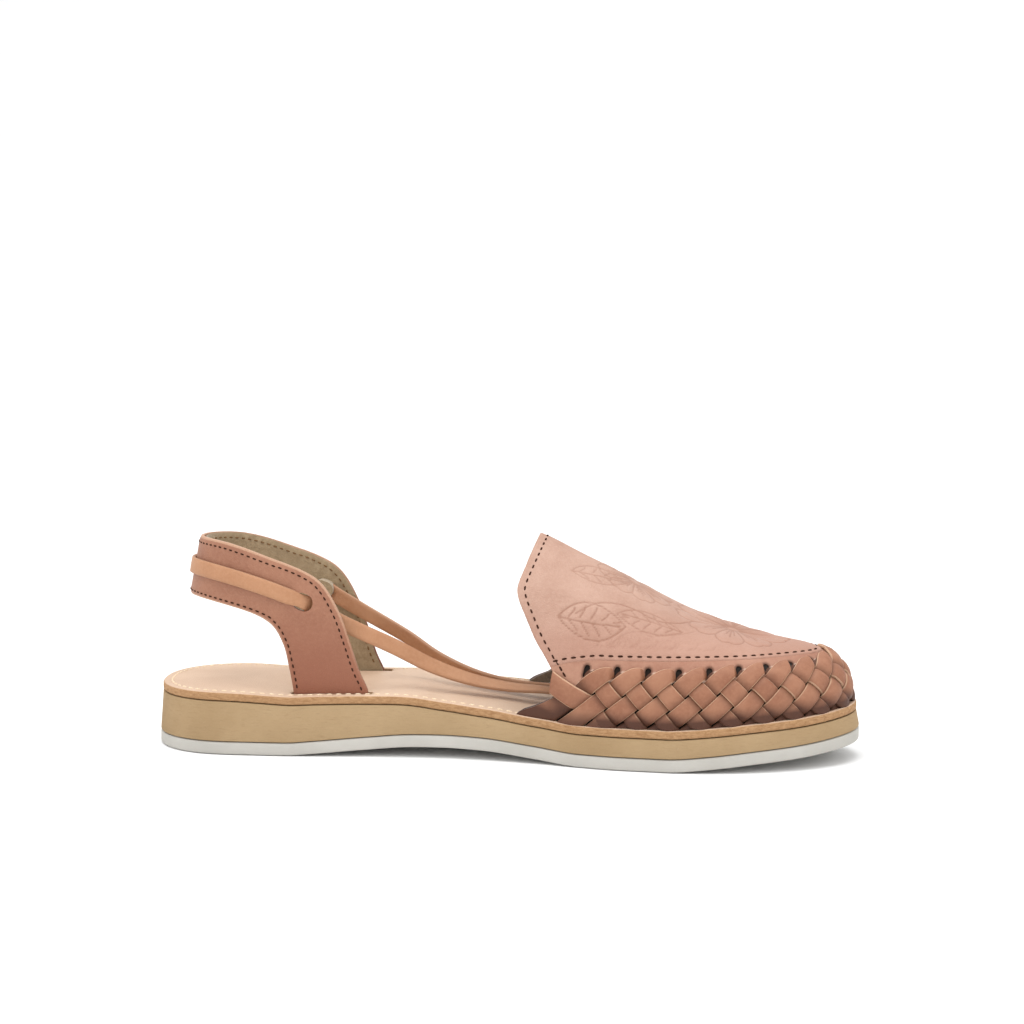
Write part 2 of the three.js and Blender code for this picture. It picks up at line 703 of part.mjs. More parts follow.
function strapWall(grow) {
  const columns = 36;
  const rows = 3;
  const half = strapThickness / 2 + grow;
  const outer = [];
  const inner = [];
  for (let i = 0; i <= columns; i += 1) {
    const side = i <= columns / 2 ? -1 : 1;
    const share = side < 0 ? (2 * i) / columns : 2 - (2 * i) / columns;
    for (let j = 0; j <= rows; j += 1) {
      const height = THREE.MathUtils.lerp(wallLow, wallHigh, j / rows);
      outer.push(strapPoint(side, share, height, half));
      inner.push(strapPoint(side, share, height, -half));
    }
  }
  const count = outer.length;
  const triangles = [];
  const quad = (a, b, c, d) => triangles.push([a, b, c], [a, c, d]);
  for (let i = 0; i < columns; i += 1) {
    for (let j = 0; j < rows; j += 1) {
      const a = i * (rows + 1) + j;
      const b = a + rows + 1;
      quad(a, a + 1, b + 1, b);
      quad(a + count, b + count, b + count + 1, a + count + 1);
    }
    const foot = i * (rows + 1);
    const head = foot + rows;
    quad(foot, foot + rows + 1, foot + rows + 1 + count, foot + count);
    quad(head, head + count, head + rows + 1 + count, head + rows + 1);
  }
  for (let j = 0; j < rows; j += 1) {
    quad(j, j + count, j + 1 + count, j + 1);
    const end = columns * (rows + 1) + j;
    quad(end, end + 1, end + 1 + count, end + count);
  }
  return solidFrom(outer.concat(inner), triangles);
}

const strapSag = (y) => strapDrop * (y + strapHalfWidth);
const strapSlide = (y) => [-strapShear * (y + strapHalfWidth), -strapSag(y)];

function strapOutline() {
  const upper = sideOutline(strapSide, legFront, strapTopHeight, 0);
  const lower = sideOutline(strapUnderside, legFront, strapTopHeight, 0);
  const points = upper.concat([new THREE.Vector2(legFront, wallLow), new THREE.Vector2(legBack, wallLow)], lower);
  return points.map((p) => new THREE.Vector2(p.x - heelBehind, p.y)).reverse();
}

// The legs pass through slots in the insole and end on the foam
function insoleSlots() {
  const back = legBack - slotClearance - heelBehind;
  const front = legFront + slotClearance - heelBehind;
  const outline = [
    new THREE.Vector2(back, wallLow),
    new THREE.Vector2(front, wallLow),
    new THREE.Vector2(front, wallHigh),
    new THREE.Vector2(back, wallHigh),
  ];
  return strapWall(slotClearance).intersect(sidePrism(outline, (y) => [strapSlide(y)[0], 0]));
}

function aboveFoam() {
  const low = (along) => insoleBottom(along) + seatGap / 2;
  return aboveCurve(0, wallFront, low, wallHigh);
}

// Lace: a flat thong round the strap's back, through a hole in each leg and forward under the vamp
const strand = [
  { ahead: 0.035, across: 0.87, up: 0.955, turn: 5 },
  { ahead: 0.124, across: 0.80, up: 0.850, turn: 12 },
  { ahead: 0.281, across: 0.56, up: 0.690, turn: 26 },
  { ahead: 0.401, across: 0.39, up: 0.555, turn: 42 },
  { ahead: 0.530, across: 0.28, up: 0.458, turn: 58 },
  { ahead: 0.659, across: 0.23, up: 0.408, turn: 72 },
  { ahead: 0.788, across: 0.215, up: 0.390, turn: 82 },
  { ahead: 0.899, across: 0.21, up: 0.350, turn: 87 },
  { ahead: 1.000, across: 0.21, up: 0.000, turn: 90 },
];

const holeHeight = strapTopHeight - holeBelow;
const laceBackHeight = strapTopHeight - laceBackBelow;
const holeTurn = 0.55; // run of the lace's face to the front as it passes a hole, per run outward
const sagFade = 3; // the outer strand soon runs as high as the inner one

function laceStations() {
  const stations = [];
  const outside = strapThickness / 2 + laceStandOff + laceThickness / 2;
  [-1, 1].forEach((side) => {
    const half = [];
    const runs = 11;
    const firstShare = (wallFront - holeAlong + diveReach) / wallLength(holeHeight);
    for (let i = 0; i <= runs; i += 1) {
      const share = firstShare + ((1 - firstShare) * i) / runs;
      const along = strapPoint(side, share, holeHeight, 0).x + heelBehind;
      const fall = THREE.MathUtils.clamp((along - strapBack) / (holeAlong - strapBack), 0, 1);
      const height = THREE.MathUtils.lerp(laceBackHeight, holeHeight, Math.pow(fall, laceDip));
      const at = strapPoint(side, share, height, outside);
      const face = at.clone().sub(strapPoint(side, share, height, 0)).normalize();
      face.z = strapLean * Math.max(-face.x, 0);
      at.z -= strapSag(at.y);
      half.push({ at, face: face.normalize() });
    }
    const middle = strapPoint(side, (wallFront - holeAlong) / wallLength(holeHeight), holeHeight, 0);
    middle.z -= strapSag(middle.y);
    half.unshift({ at: middle, face: new THREE.Vector3(holeTurn, side, 0).normalize() });
    const inside = strand.map((row) => {
      const along = holeAlong + row.ahead * (laceEnd - holeAlong);
      const floor = insoleTop(along) + seatGap + laceThickness / 2;
      const across = row.across * (side * strapHalfWidth + strapShift);
      const sag = strapSag(across) * Math.pow(1 - row.ahead, sagFade);
      const tilt = row.turn * radians;
      return {
        at: new THREE.Vector3(along - heelBehind, across, Math.max(row.up * holeHeight - sag, floor)),
        face: new THREE.Vector3(0, side * Math.cos(tilt), Math.sin(tilt)),
      };
    });
    half.unshift(...inside.reverse());
    if (side < 0) stations.push(...half);
    else stations.push(...half.slice(0, -1).reverse());
  });
  return stations;
}

function laceSections() {
  const stations = laceStations();
  const curve = new THREE.CatmullRomCurve3(stations.map((s) => s.at), false, 'centripetal');
  const fine = 2;
  const count = (stations.length - 1) * fine;
  const sections = [];
  for (let i = 0; i <= count; i += 1) {
    const at = curve.getPoint(i / count);
    const run = curve.getTangent(i / count);
    const index = Math.min(Math.floor(i / fine), stations.length - 2);
    const face = stations[index].face.clone().lerp(stations[index + 1].face, i / fine - index);
    face.addScaledVector(run, -face.dot(run)).normalize();
    sections.push({ at, face, across: run.clone().cross(face) });
  }
  return sections;
}

function ribbon(sections, grow) {
  const points = [];
  const halfWidth = laceWidth / 2 + grow;
  const halfThick = laceThickness / 2 + grow;
  sections.forEach(({ at, face, across }) => {
    [[-1, -1], [-1, 1], [1, 1], [1, -1]].forEach(([w, h]) => {
      points.push(at.clone().addScaledVector(across, w * halfWidth).addScaledVector(face, h * halfThick));
    });
  });
  const triangles = [];
  for (let i = 0; i < sections.length - 1; i += 1) {
    for (let k = 0; k < 4; k += 1) {
      const a = i * 4 + k;
      const b = i * 4 + ((k + 1) % 4);
      triangles.push([a, b, b + 4], [a, b + 4, a + 4]);
    }
  }
  const end = (sections.length - 1) * 4;
  triangles.push([0, 2, 1], [0, 3, 2], [end, end + 1, end + 2], [end, end + 2, end + 3]);
  return solidFrom(points, triangles);
}

function laceHole(side) {
  const near = laceSections().filter(({ at }) => side * at.y > 0
    && Math.abs(at.x + heelBehind - holeAlong) < holeReach && at.z > holeHeight - holeReach);
  return ribbon(near, laceClearance);
}

function meshOf(name, solid, colour, roughness) {
  const { vertProperties, triVerts, numProp } = solid.getMesh();
  const position = new Float32Array((vertProperties.length / numProp) * 3);
  for (let i = 0; i < position.length / 3; i += 1) {
    position.set(vertProperties.subarray(i * numProp, i * numProp + 3), i * 3);
  }
  const geometry = new THREE.BufferGeometry();
  geometry.setAttribute('position', new THREE.BufferAttribute(position, 3));
  geometry.setIndex(new THREE.BufferAttribute(new Uint32Array(triVerts), 1));
  geometry.computeVertexNormals();
  const material = new THREE.MeshStandardMaterial({ color: colour, roughness, metalness: 0 });
  const mesh = new THREE.Mesh(geometry, material);
  mesh.name = name;
  return mesh;
}

const strapSolid = strapWall(0)
  .intersect(sidePrism(strapOutline(), strapSlide))
  .intersect(aboveFoam())
  .subtract(laceHole(-1))
  .subtract(laceHole(1));

const group = new THREE.Group();
group.add(meshOf('outsole', makeOutsole(), 0xc8c4ba, 0.7));
group.add(meshOf('midsole', makeMidsole(), 0xc1a27c, 0.8));
group.add(meshOf('insole', makeInsoleBlank().subtract(insoleSlots()), 0xe4c6a6, 0.6));
group.add(meshOf('vamp', makeVamp(), 0xb8866b, 0.6));
group.add(meshOf('heel_strap', strapSolid, 0xa87460, 0.6));
group.add(meshOf('lace', ribbon(laceSections(), 0), 0xd6a27c, 0.55));

export default group;
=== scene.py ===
import math
import bmesh
import bpy
import numpy as np
from mathutils import Matrix, Vector


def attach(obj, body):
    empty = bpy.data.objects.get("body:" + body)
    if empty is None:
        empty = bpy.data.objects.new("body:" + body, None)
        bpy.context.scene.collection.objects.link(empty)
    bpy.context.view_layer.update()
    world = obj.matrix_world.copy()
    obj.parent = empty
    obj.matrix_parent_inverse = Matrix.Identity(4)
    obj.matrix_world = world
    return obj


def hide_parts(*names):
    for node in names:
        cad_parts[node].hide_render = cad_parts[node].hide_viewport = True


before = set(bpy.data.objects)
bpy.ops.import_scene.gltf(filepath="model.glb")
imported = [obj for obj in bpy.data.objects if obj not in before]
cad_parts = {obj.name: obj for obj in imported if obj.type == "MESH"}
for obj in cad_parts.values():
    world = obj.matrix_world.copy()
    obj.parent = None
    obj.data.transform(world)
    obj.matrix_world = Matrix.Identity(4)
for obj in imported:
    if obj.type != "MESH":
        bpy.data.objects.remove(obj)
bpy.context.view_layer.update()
mm = 0.001  # shapes are worked out in mm, X from the middle of the heel
rng = np.random.default_rng(7)
print("frame loaded")

# Shape tools


def columnCurve(rows, column, key="along"):
    # a table's column as a smooth curve that never overshoots its rows
    xs = np.array([row[key] for row in rows], float)
    ys = np.array([row[column] for row in rows], float)
    steps = np.diff(ys) / np.diff(xs)
    middle = [0.0 if a * b <= 0 else 2 * a * b / (a + b) for a, b in zip(steps[:-1], steps[1:])]
    slopes = np.array([steps[0], *middle, steps[-1]])

    def curve(x):
        x = np.asarray(x, float)
        i = np.clip(np.searchsorted(xs, x, side="right") - 1, 0, len(xs) - 2)
        width = xs[i + 1] - xs[i]
        t = (x - xs[i]) / width
        s = 1 - t
        inside = ys[i] * s * s * (1 + 2 * t) + slopes[i] * width * t * s * s
        inside += ys[i + 1] * t * t * (3 - 2 * t) - slopes[i + 1] * width * t * t * s
        low = ys[0] + slopes[0] * (x - xs[0])
        high = ys[-1] + slopes[-1] * (x - xs[-1])
        return np.where(x <= xs[0], low, np.where(x >= xs[-1], high, inside))

    return curve


def table(columns, *rows):
    # rows with named columns, the names given once
    return [dict(zip(columns.split(), row)) for row in rows]


def smoothRise(x):
    t = np.clip(x, 0, 1)
    return t * t * (3 - 2 * t)


def unit(vectors):
    size = np.linalg.norm(vectors, axis=-1, keepdims=True)
    return vectors / np.maximum(size, 1e-9)


def splineThrough(corners, steps):
    # a curve through given corners, the same kind as the part's own outlines
    corners = np.asarray(corners, float)
    padded = np.vstack([2 * corners[0] - corners[1], corners, 2 * corners[-1] - corners[-2]])
    points = []
    for i in range(len(corners) - 1):
        a, b, c, d = padded[i:i + 4]
        for t in np.linspace(0, 1, steps, endpoint=False):
            rise = b + 0.5 * t * (c - a)
            turn = t * t * (a - 2.5 * b + 2 * c - 0.5 * d) + t ** 3 * (1.5 * (b - c) + 0.5 * (d - a))
            points.append(rise + turn)
    points.append(corners[-1])
    return np.array(points)


def evenly(points, count):
    # the same line again, with its points evenly spaced
    steps = np.linalg.norm(np.diff(points, axis=0), axis=1)
    length = np.concatenate([[0], np.cumsum(steps)])
    wanted = np.linspace(0, length[-1], count)
    return np.stack([np.interp(wanted, length, points[:, k]) for k in range(points.shape[1])], axis=1)


def lineLength(points):
    return np.linalg.norm(np.diff(points, axis=0), axis=1).sum()


def gridFaces(rows, columns, wrap=False, start=0):
    faces = []
    for i in range(rows - 1):
        for j in range(columns if wrap else columns - 1):
            k = (j + 1) % columns
            a = start + i * columns
            faces.append((a + j, a + columns + j, a + columns + k, a + k))
    return faces


def loftFaces(count, size, start=0):
    # a closed loft of sections, with both ends filled
    faces = gridFaces(count, size, wrap=True, start=start)
    last = start + (count - 1) * size
    faces.append(tuple(range(start, start + size)))
    faces.append(tuple(reversed(range(last, last + size))))
    return faces


def addObject(name, points, faces, attributes=None):
    # a mesh object from points in mm, with its faces turned outward
    mesh = bpy.data.meshes.new(name)
    mesh.from_pydata((np.asarray(points) * mm).tolist(), [], faces)
    for key, values in (attributes or {}).items():
        layer = mesh.attributes.new(key, "FLOAT", "POINT")
        layer.data.foreach_set("value", np.asarray(values, np.float32))
    shape = bmesh.new()
    shape.from_mesh(mesh)
    bmesh.ops.recalc_face_normals(shape, faces=shape.faces)
    shape.to_mesh(mesh)
    shape.free()
    added = bpy.data.objects.new(name, mesh)
    bpy.context.scene.collection.objects.link(added)
    return added


def makePiece(name, points, faces, finish, node, sharp=50, attributes=None):
    # sharp is the angle in degrees past which an edge isn't smoothed
    piece = addObject(name, points, faces, attributes)
    piece.data.shade_smooth()
    piece.data.set_sharp_from_angle(angle=math.radians(sharp))
    piece.data.materials.append(finish)
    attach(piece, "root")
    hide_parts(node)
    return piece


def cutWith(piece, cutters):
    # subtracts plain cutter meshes, then removes them
    for cutter in cutters:
        step = piece.modifiers.new("cut", "BOOLEAN")
        step.operation = "DIFFERENCE"
        step.solver = "EXACT"
        step.object = cutter
    bpy.context.view_layer.update()
    held = bpy.context.evaluated_depsgraph_get()
    mesh = bpy.data.meshes.new_from_object(piece.evaluated_get(held))
    piece.modifiers.clear()
    piece.data = mesh
    for cutter in cutters:
        bpy.data.objects.remove(cutter)


# Shader tools


class Wire:
    # a node's socket, so that shader maths reads as plain expressions
    def __init__(self, tree, socket):
        self.tree = tree
        self.socket = socket

    def combine(self, operation, first, second):
        node = self.tree.nodes.new("ShaderNodeMath")
        node.operation = operation
        for slot, value in zip(node.inputs, (first, second)):
            if isinstance(value, Wire):
                self.tree.links.new(value.socket, slot)
            else:
                slot.default_value = value
        return Wire(self.tree, node.outputs[0])

    def __add__(self, other):
        return self.combine("ADD", self, other)

    __radd__ = __add__

    def __sub__(self, other):
        return self.combine("SUBTRACT", self, other)

    def __rsub__(self, other):
        return self.combine("SUBTRACT", other, self)

    def __mul__(self, other):
        return self.combine("MULTIPLY", self, other)

    __rmul__ = __mul__

    def __lt__(self, other):
        return self.combine("LESS_THAN", self, other)


class Finish:
    # one procedural material
    def __init__(self, name, roughness, specular, sheen=0.0):
        self.material = bpy.data.materials.new(name)
        self.material.use_nodes = True
        self.tree = self.material.node_tree
        self.shader = self.tree.nodes["Principled BSDF"]
        self.shader.inputs["Roughness"].default_value = roughness
        self.shader.inputs["Specular IOR Level"].default_value = specular
        self.shader.inputs["Sheen Weight"].default_value = sheen
        self.place = self.add("ShaderNodeTexCoord", output="Object")

    def add(self, kind, settings=None, values=None, output=0):
        node = self.tree.nodes.new(kind)
        for key, value in (settings or {}).items():
            setattr(node, key, value)
        for key, value in (values or {}).items():
            if isinstance(value, Wire):
                self.tree.links.new(value.socket, node.inputs[key])
            else:
                node.inputs[key].default_value = value
        return Wire(self.tree, node.outputs[output])

    def stretched(self, scale):
        return self.add("ShaderNodeMapping", None, {"Vector": self.place, "Scale": scale})

    def noise(self, scale, detail, roughness, distortion=0.0, vector=None):
        values = {"Vector": vector or self.place, "Scale": scale, "Detail": detail,
                  "Roughness": roughness, "Distortion": distortion}
        return self.add("ShaderNodeTexNoise", None, values)

    def cells(self, scale):
        # distance from the walls between small cells, for pores and tread
        values = {"Vector": self.place, "Scale": scale}
        return self.add("ShaderNodeTexVoronoi", {"feature": "DISTANCE_TO_EDGE"}, values, "Distance")

    def spread(self, value, low, high):
        # from low to high becomes from 0 to 1, with soft ends
        settings = {"interpolation_type": "SMOOTHSTEP"}
        return self.add("ShaderNodeMapRange", settings, {"Value": value, "From Min": low, "From Max": high})

    def attribute(self, name):
        return self.add("ShaderNodeAttribute", {"attribute_name": name}, None, "Fac")

    def blend(self, factor, first, second):
        node = self.tree.nodes.new("ShaderNodeMix")
        node.data_type = "RGBA"
        for slot, value in zip((0, 6, 7), (factor, first, second)):
            if isinstance(value, Wire):
                self.tree.links.new(value.socket, node.inputs[slot])
            elif slot == 0:
                node.inputs[slot].default_value = value
            else:
                node.inputs[slot].default_value = (*value, 1)
        return Wire(self.tree, node.outputs[2])

    def colour(self, value):
        self.tree.links.new(value.socket, self.shader.inputs["Base Color"])

    def rough(self, value):
        self.tree.links.new(value.socket, self.shader.inputs["Roughness"])

    def bump(self, height, strength, distance):
        values = {"Height": height, "Strength": strength, "Distance": distance}
        normal = self.add("ShaderNodeBump", None, values)
        self.tree.links.new(normal.socket, self.shader.inputs["Normal"])

    def sideHeight(self):
        return self.add("ShaderNodeSeparateXYZ", None, {"Vector": self.place}, "Z")

    def facingUp(self):
        normal = self.add("ShaderNodeNewGeometry", None, None, "Normal")
        return self.add("ShaderNodeSeparateXYZ", None, {"Vector": normal}, "Z")


def leatherFinish(name, look):
    # cloudy colour with fine grain and pores, raw at the edges, darker low down, in tooling and in shade
    finish = Finish(name, look["roughness"], look["specular"])
    cloud = finish.noise(look["cloudScale"], 5, 0.6, 0.4)
    fine = finish.noise(900, 3, 0.6)
    pores = finish.cells(1500)
    tone = finish.blend(finish.spread(cloud, 0.3, 0.7), look["dark"], look["light"])
    tone = finish.blend(finish.spread(fine, 0.35, 0.75) * 0.25, tone, look["grain"])
    ragged = finish.attribute("edge") + finish.noise(1400, 3, 0.7) * 0.5 - 0.25
    tone = finish.blend(finish.spread(ragged, 0.35, 0.75), tone, look["edge"])
    if "low" in look:
        fall = 1 - finish.spread(finish.sideHeight(), look["lowFrom"], look["lowTo"])
        tone = finish.blend(fall * look["lowShare"], tone, look["low"])
    if "tool" in look:
        pressed = finish.spread(finish.attribute("tool"), 0.12, 1.0)
        tone = finish.blend(pressed * look["toolShare"], tone, look["tool"])
    if "shade" in look:
        tone = finish.blend(finish.attribute("shade"), tone, look["shade"])
    finish.colour(tone)
    finish.rough(look["roughness"] + fine * 0.16 - 0.08)
    height = finish.spread(pores, 0.0, 0.25) * 0.5 + fine * 0.8 + cloud * 0.3
    finish.bump(height, look["bump"], 0.0003)
    return finish.material


def suedeFinish(name, dark, light, deep=None):
    # deep is the colour where the piece's shade attribute is 1
    finish = Finish(name, 0.95, 0.1, 0.35)
    nap = finish.noise(420, 6, 0.75, 0.6)
    patch = finish.noise(60, 3, 0.5)
    tone = finish.blend(finish.spread(nap, 0.3, 0.72), dark, light)
    tone = finish.blend(finish.spread(patch, 0.35, 0.7) * 0.35, tone, dark)
    if deep:
        tone = finish.blend(finish.attribute("shade"), tone, deep)
    finish.colour(tone)
    finish.bump(nap + finish.noise(1600, 4, 0.7) * 0.6, 0.5, 0.0005)
    return finish.material


def threadFinish(name, dark, light):
    finish = Finish(name, 0.8, 0.08)
    twist = finish.noise(2600, 2, 0.5)
    finish.colour(finish.blend(finish.spread(twist, 0.3, 0.7), dark, light))
    finish.bump(twist, 0.5, 0.0002)
    return finish.material


# Sole: the same plan and side profile as the part

sole = {
    "length": 250, "ballWidth": 87, "heelBehind": 30, "heelRound": 30, "toeRound": 55, "roundPower": 2.2,
    "archRise": 3.6, "toeSpring": 6.4, "outsoleThickness": 4.4, "heelFoam": 14.0, "foreFoam": 6.4,
    "foamFlare": 1.0, "insoleThickness": 3.0, "seatGap": 0.3, "stations": 150, "across": 14,
}
planRows = table(
    "along half lean",
    (0.00, 0.359, 0.000),
    (0.18, 0.359, -0.003),
    (0.24, 0.353, -0.009),
    (0.32, 0.343, -0.022),
    (0.40, 0.349, -0.036),
    (0.48, 0.378, -0.046),
    (0.56, 0.426, -0.046),
    (0.62, 0.467, -0.034),
    (0.68, 0.491, -0.018),
    (0.74, 0.491, 0.001),
    (0.82, 0.458, 0.026),
    (0.88, 0.424, 0.044),
    (1.00, 0.372, 0.058),
)
profileRows = table(
    "along arch spring wedge",
    (0.00, 0.00, 0.00, 1.00),
    (0.10, 0.00, 0.00, 1.00),
    (0.20, 0.00, 0.00, 0.86),
    (0.24, 0.20, 0.00, 0.80),
    (0.31, 0.62, 0.00, 0.64),
    (0.38, 0.98, 0.00, 0.43),
    (0.42, 1.00, 0.00, 0.24),
    (0.48, 0.88, 0.00, 0.07),
    (0.55, 0.42, 0.00, 0.00),
    (0.62, 0.00, 0.00, 0.00),
    (0.74, 0.00, 0.00, 0.00),
    (0.80, 0.00, 0.17, -0.02),
    (0.86, 0.00, 0.42, -0.05),
    (0.93, 0.00, 0.66, -0.08),
    (1.00, 0.00, 1.00, -0.10),
)
planHalf = columnCurve(planRows, "half")
planLean = columnCurve(planRows, "lean")
archShare = columnCurve(profileRows, "arch")
springShare = columnCurve(profileRows, "spring")
wedgeShare = columnCurve(profileRows, "wedge")


def roundedEnd(inward):
    u = np.clip(1 - inward, 0, 1)
    return np.power(1 - np.power(u, sole["roundPower"]), 1 / sole["roundPower"])


def outlinePoint(side, along):
    # side is -1 inner, 1 outer; along is counted from the heel's end
    along = np.asarray(along, float)
    share = along / sole["length"]
    ends = roundedEnd(along / sole["heelRound"]) * roundedEnd((sole["length"] - along) / sole["toeRound"])
    half = planHalf(share) * sole["ballWidth"] * ends
    return np.stack([along - sole["heelBehind"], side * half - planLean(share) * sole["ballWidth"]], axis=-1)


def soleBottom(along):
    share = np.clip(np.asarray(along, float) / sole["length"], 0, 1)
    return archShare(share) * sole["archRise"] + springShare(share) * sole["toeSpring"]


def foamTop(along):
    share = np.clip(np.asarray(along, float) / sole["length"], 0, 1)
    foam = sole["foreFoam"] + wedgeShare(share) * (sole["heelFoam"] - sole["foreFoam"])
    return soleBottom(along) + sole["outsoleThickness"] + sole["seatGap"] + foam


def insoleTop(along):
    return foamTop(along) + sole["seatGap"] + sole["insoleThickness"]


def outlineRing(inset, height):
    stations = sole["stations"]
    alongs = sole["length"] * (0.5 - 0.5 * np.cos(np.pi * np.linspace(0, 1, stations + 1)))
    ring = np.vstack([outlinePoint(-1, alongs), outlinePoint(1, alongs[1:-1][::-1])])
    ringAlong = np.concatenate([alongs, alongs[1:-1][::-1]])
    run = unit(np.roll(ring, -1, axis=0) - np.roll(ring, 1, axis=0))
    moved = ring + np.stack([-run[:, 1], run[:, 0]], axis=1) * inset
    return np.column_stack([moved, height(ringAlong)])


def layerShape(rows):
    # rings of the outline stacked from the bottom up, with a grid across the bottom and the top
    rings = [outlineRing(inset, height) for inset, height in rows]
    size = len(rings[0])
    stations, across = sole["stations"], sole["across"]
    points = list(np.vstack(rings))
    faces = gridFaces(len(rings), size, wrap=True)
    for level, ring in ((0, rings[0]), (len(rings) - 1, rings[-1])):
        start = level * size
        rungs = [[start] * (across + 1)]
        for i in range(1, stations):
            inner, outer = ring[i], ring[size - i]
            rung = [start + i]
            for k in range(1, across):
                rung.append(len(points))
                points.append(inner + (outer - inner) * k / across)
            rungs.append(rung + [start + size - i])
        rungs.append([start + stations] * (across + 1))
        for i in range(stations):
            for k in range(across):
                face = [rungs[i][k], rungs[i + 1][k], rungs[i + 1][k + 1], rungs[i][k + 1]]
                face = [v for n, v in enumerate(face) if v != face[n - 1]]
                if len(face) > 2:
                    faces.append(face)
    return np.array(points), faces


def roundedRows(low, high, inset, flare, radius, steps=4):
    # a side wall with rounded edges: flare is how far its foot stands out beyond its top
    rows = []
    for k in range(steps + 1):
        turn = 0.5 * math.pi * k / steps
        out, rise = radius * (1 - math.sin(turn)), radius * (1 - math.cos(turn))
        rows.append((inset - flare + out, lambda a, rise=rise: low(a) + rise))
    for k in range(steps + 1):
        turn = 0.5 * math.pi * k / steps
        out, drop = radius * (1 - math.cos(turn)), radius * (1 - math.sin(turn))
        rows.append((inset + out, lambda a, drop=drop: high(a) - drop))
    return rows


def rubberFinish():
    finish = Finish("white_rubber_sheet", 0.62, 0.35)
    cloud = finish.noise(35, 4, 0.6)
    grain = finish.noise(1900, 3, 0.6)
    tone = finish.blend(finish.spread(cloud, 0.3, 0.7), (0.40, 0.385, 0.35), (0.46, 0.445, 0.41))
    low = 1 - finish.spread(finish.sideHeight(), 0.0, 0.0035)
    scuff = finish.spread(finish.noise(140, 5, 0.7), 0.45, 0.75)
    tone = finish.blend(low * scuff * 0.35, tone, (0.27, 0.24, 0.20))
    finish.colour(tone)
    tread = finish.spread(finish.cells(420), 0.0, 0.12)
    under = finish.facingUp() < -0.8
    finish.bump(grain * 0.25 + tread * under * 1.6, 0.4, 0.0005)
    return finish.material


def foamFinish():
    finish = Finish("sanded_foam", 0.85, 0.2)
    streak = finish.noise(1.0, 5, 0.7, 0.2, finish.stretched((260, 260, 1900)))
    crumb = finish.noise(1500, 4, 0.7)
    cloud = finish.noise(28, 4, 0.6)
    tone = finish.blend(finish.spread(cloud, 0.3, 0.7), (0.315, 0.212, 0.112), (0.375, 0.262, 0.146))
    tone = finish.blend(finish.spread(streak, 0.5, 0.75) * 0.5, tone, (0.25, 0.162, 0.082))
    tone = finish.blend(finish.spread(crumb, 0.55, 0.8) * 0.3, tone, (0.46, 0.35, 0.22))
    finish.colour(tone)
    finish.bump(streak * 0.7 + crumb * 0.5, 0.45, 0.0004)
    return finish.material


def insoleFinish():
    # smooth face on top, raw suede-like edge all round
    finish = Finish("insole_leather", 0.5, 0.4)
    top = finish.spread(finish.facingUp(), 0.6, 0.9)
    cloud = finish.noise(30, 5, 0.6, 0.5)
    fine = finish.noise(1100, 4, 0.65)
    pores = finish.cells(1300)
    face = finish.blend(finish.spread(cloud, 0.3, 0.7), (0.51, 0.345, 0.235), (0.575, 0.41, 0.29))
    face = finish.blend(finish.spread(fine, 0.4, 0.8) * 0.3, face, (0.66, 0.49, 0.36))
    fibre = finish.noise(1.0, 6, 0.75, 0.5, finish.stretched((500, 500, 1500)))
    edge = finish.blend(finish.spread(fibre, 0.3, 0.7), (0.27, 0.14, 0.06), (0.44, 0.26, 0.13))
    finish.colour(finish.blend(top, edge, face))
    finish.rough(0.9 - top * 0.42 + fine * 0.08)
    height = top * (fine * 0.3 + finish.spread(pores, 0, 0.25) * 0.3) + (1 - top) * fibre * 2.0
    finish.bump(height, 0.35, 0.0004)
    return finish.material


def buildSole():
    gap = sole["seatGap"]
    outsoleTop = lambda a: soleBottom(a) + sole["outsoleThickness"]
    foamLow = lambda a: outsoleTop(a) + gap
    insoleLow = lambda a: foamTop(a) + gap
    points, faces = layerShape(roundedRows(soleBottom, outsoleTop, 0.0, 0.0, 0.7))
    makePiece("rubber_outsole", points, faces, rubberFinish(), "outsole", 40)
    points, faces = layerShape(roundedRows(foamLow, foamTop, sole["foamFlare"], sole["foamFlare"], 0.35, 3))
    makePiece("foam_midsole", points, faces, foamFinish(), "midsole", 40)
    points, faces = layerShape(roundedRows(insoleLow, insoleTop, sole["foamFlare"], 0.0, 0.8))
    return makePiece("leather_insole", points, faces, insoleFinish(), "insole", 60)


# Hood: the last's form over the insole, from the feather line of each side up to the ridge

hood = {
    "featherInset": 4.0, "back": 116, "throatAlong": 136, "throatHeight": 77, "crestEnd": 222,
    "crestLag": 0.82, "crestPower": 1.4, "throatSlant": 5.5, "throatCorner": 0.3, "wall": 1.6,
    "plugStep": 0.9, "plugEdge": 37.1, "seamDip": 6, "seamRise": 24, "plateSink": 0.02, "plateRound": 1.1,
    "band": 0.5, "bandWidth": 7.0, "bandCorner": 2.8, "bandUnder": 1.8, "bandSink": 0.25,
    "stations": 240, "steps": 116, "liningStations": 110, "liningSteps": 46,
}
ridgeRows = table(
    "along rise lean shoulder spread crown",
    (0.44, 1.085, 0.000, 0.68, 0.42, 0.94),
    (0.544, 1.000, 0.000, 0.68, 0.42, 0.94),
    (0.57, 0.964, 0.002, 0.69, 0.42, 0.95),
    (0.63, 0.856, 0.006, 0.72, 0.42, 0.96),
    (0.69, 0.720, 0.010, 0.76, 0.42, 0.97),
    (0.74, 0.599, 0.016, 0.80, 0.42, 0.98),
    (0.80, 0.486, 0.024, 0.80, 0.42, 0.99),
    (0.86, 0.399, 0.032, 0.78, 0.40, 1.00),
    (0.89, 0.380, 0.036, 0.76, 0.38, 1.00),
)
ridgeCurves = {key: columnCurve(ridgeRows, key) for key in ("rise", "lean", "shoulder", "spread", "crown")}
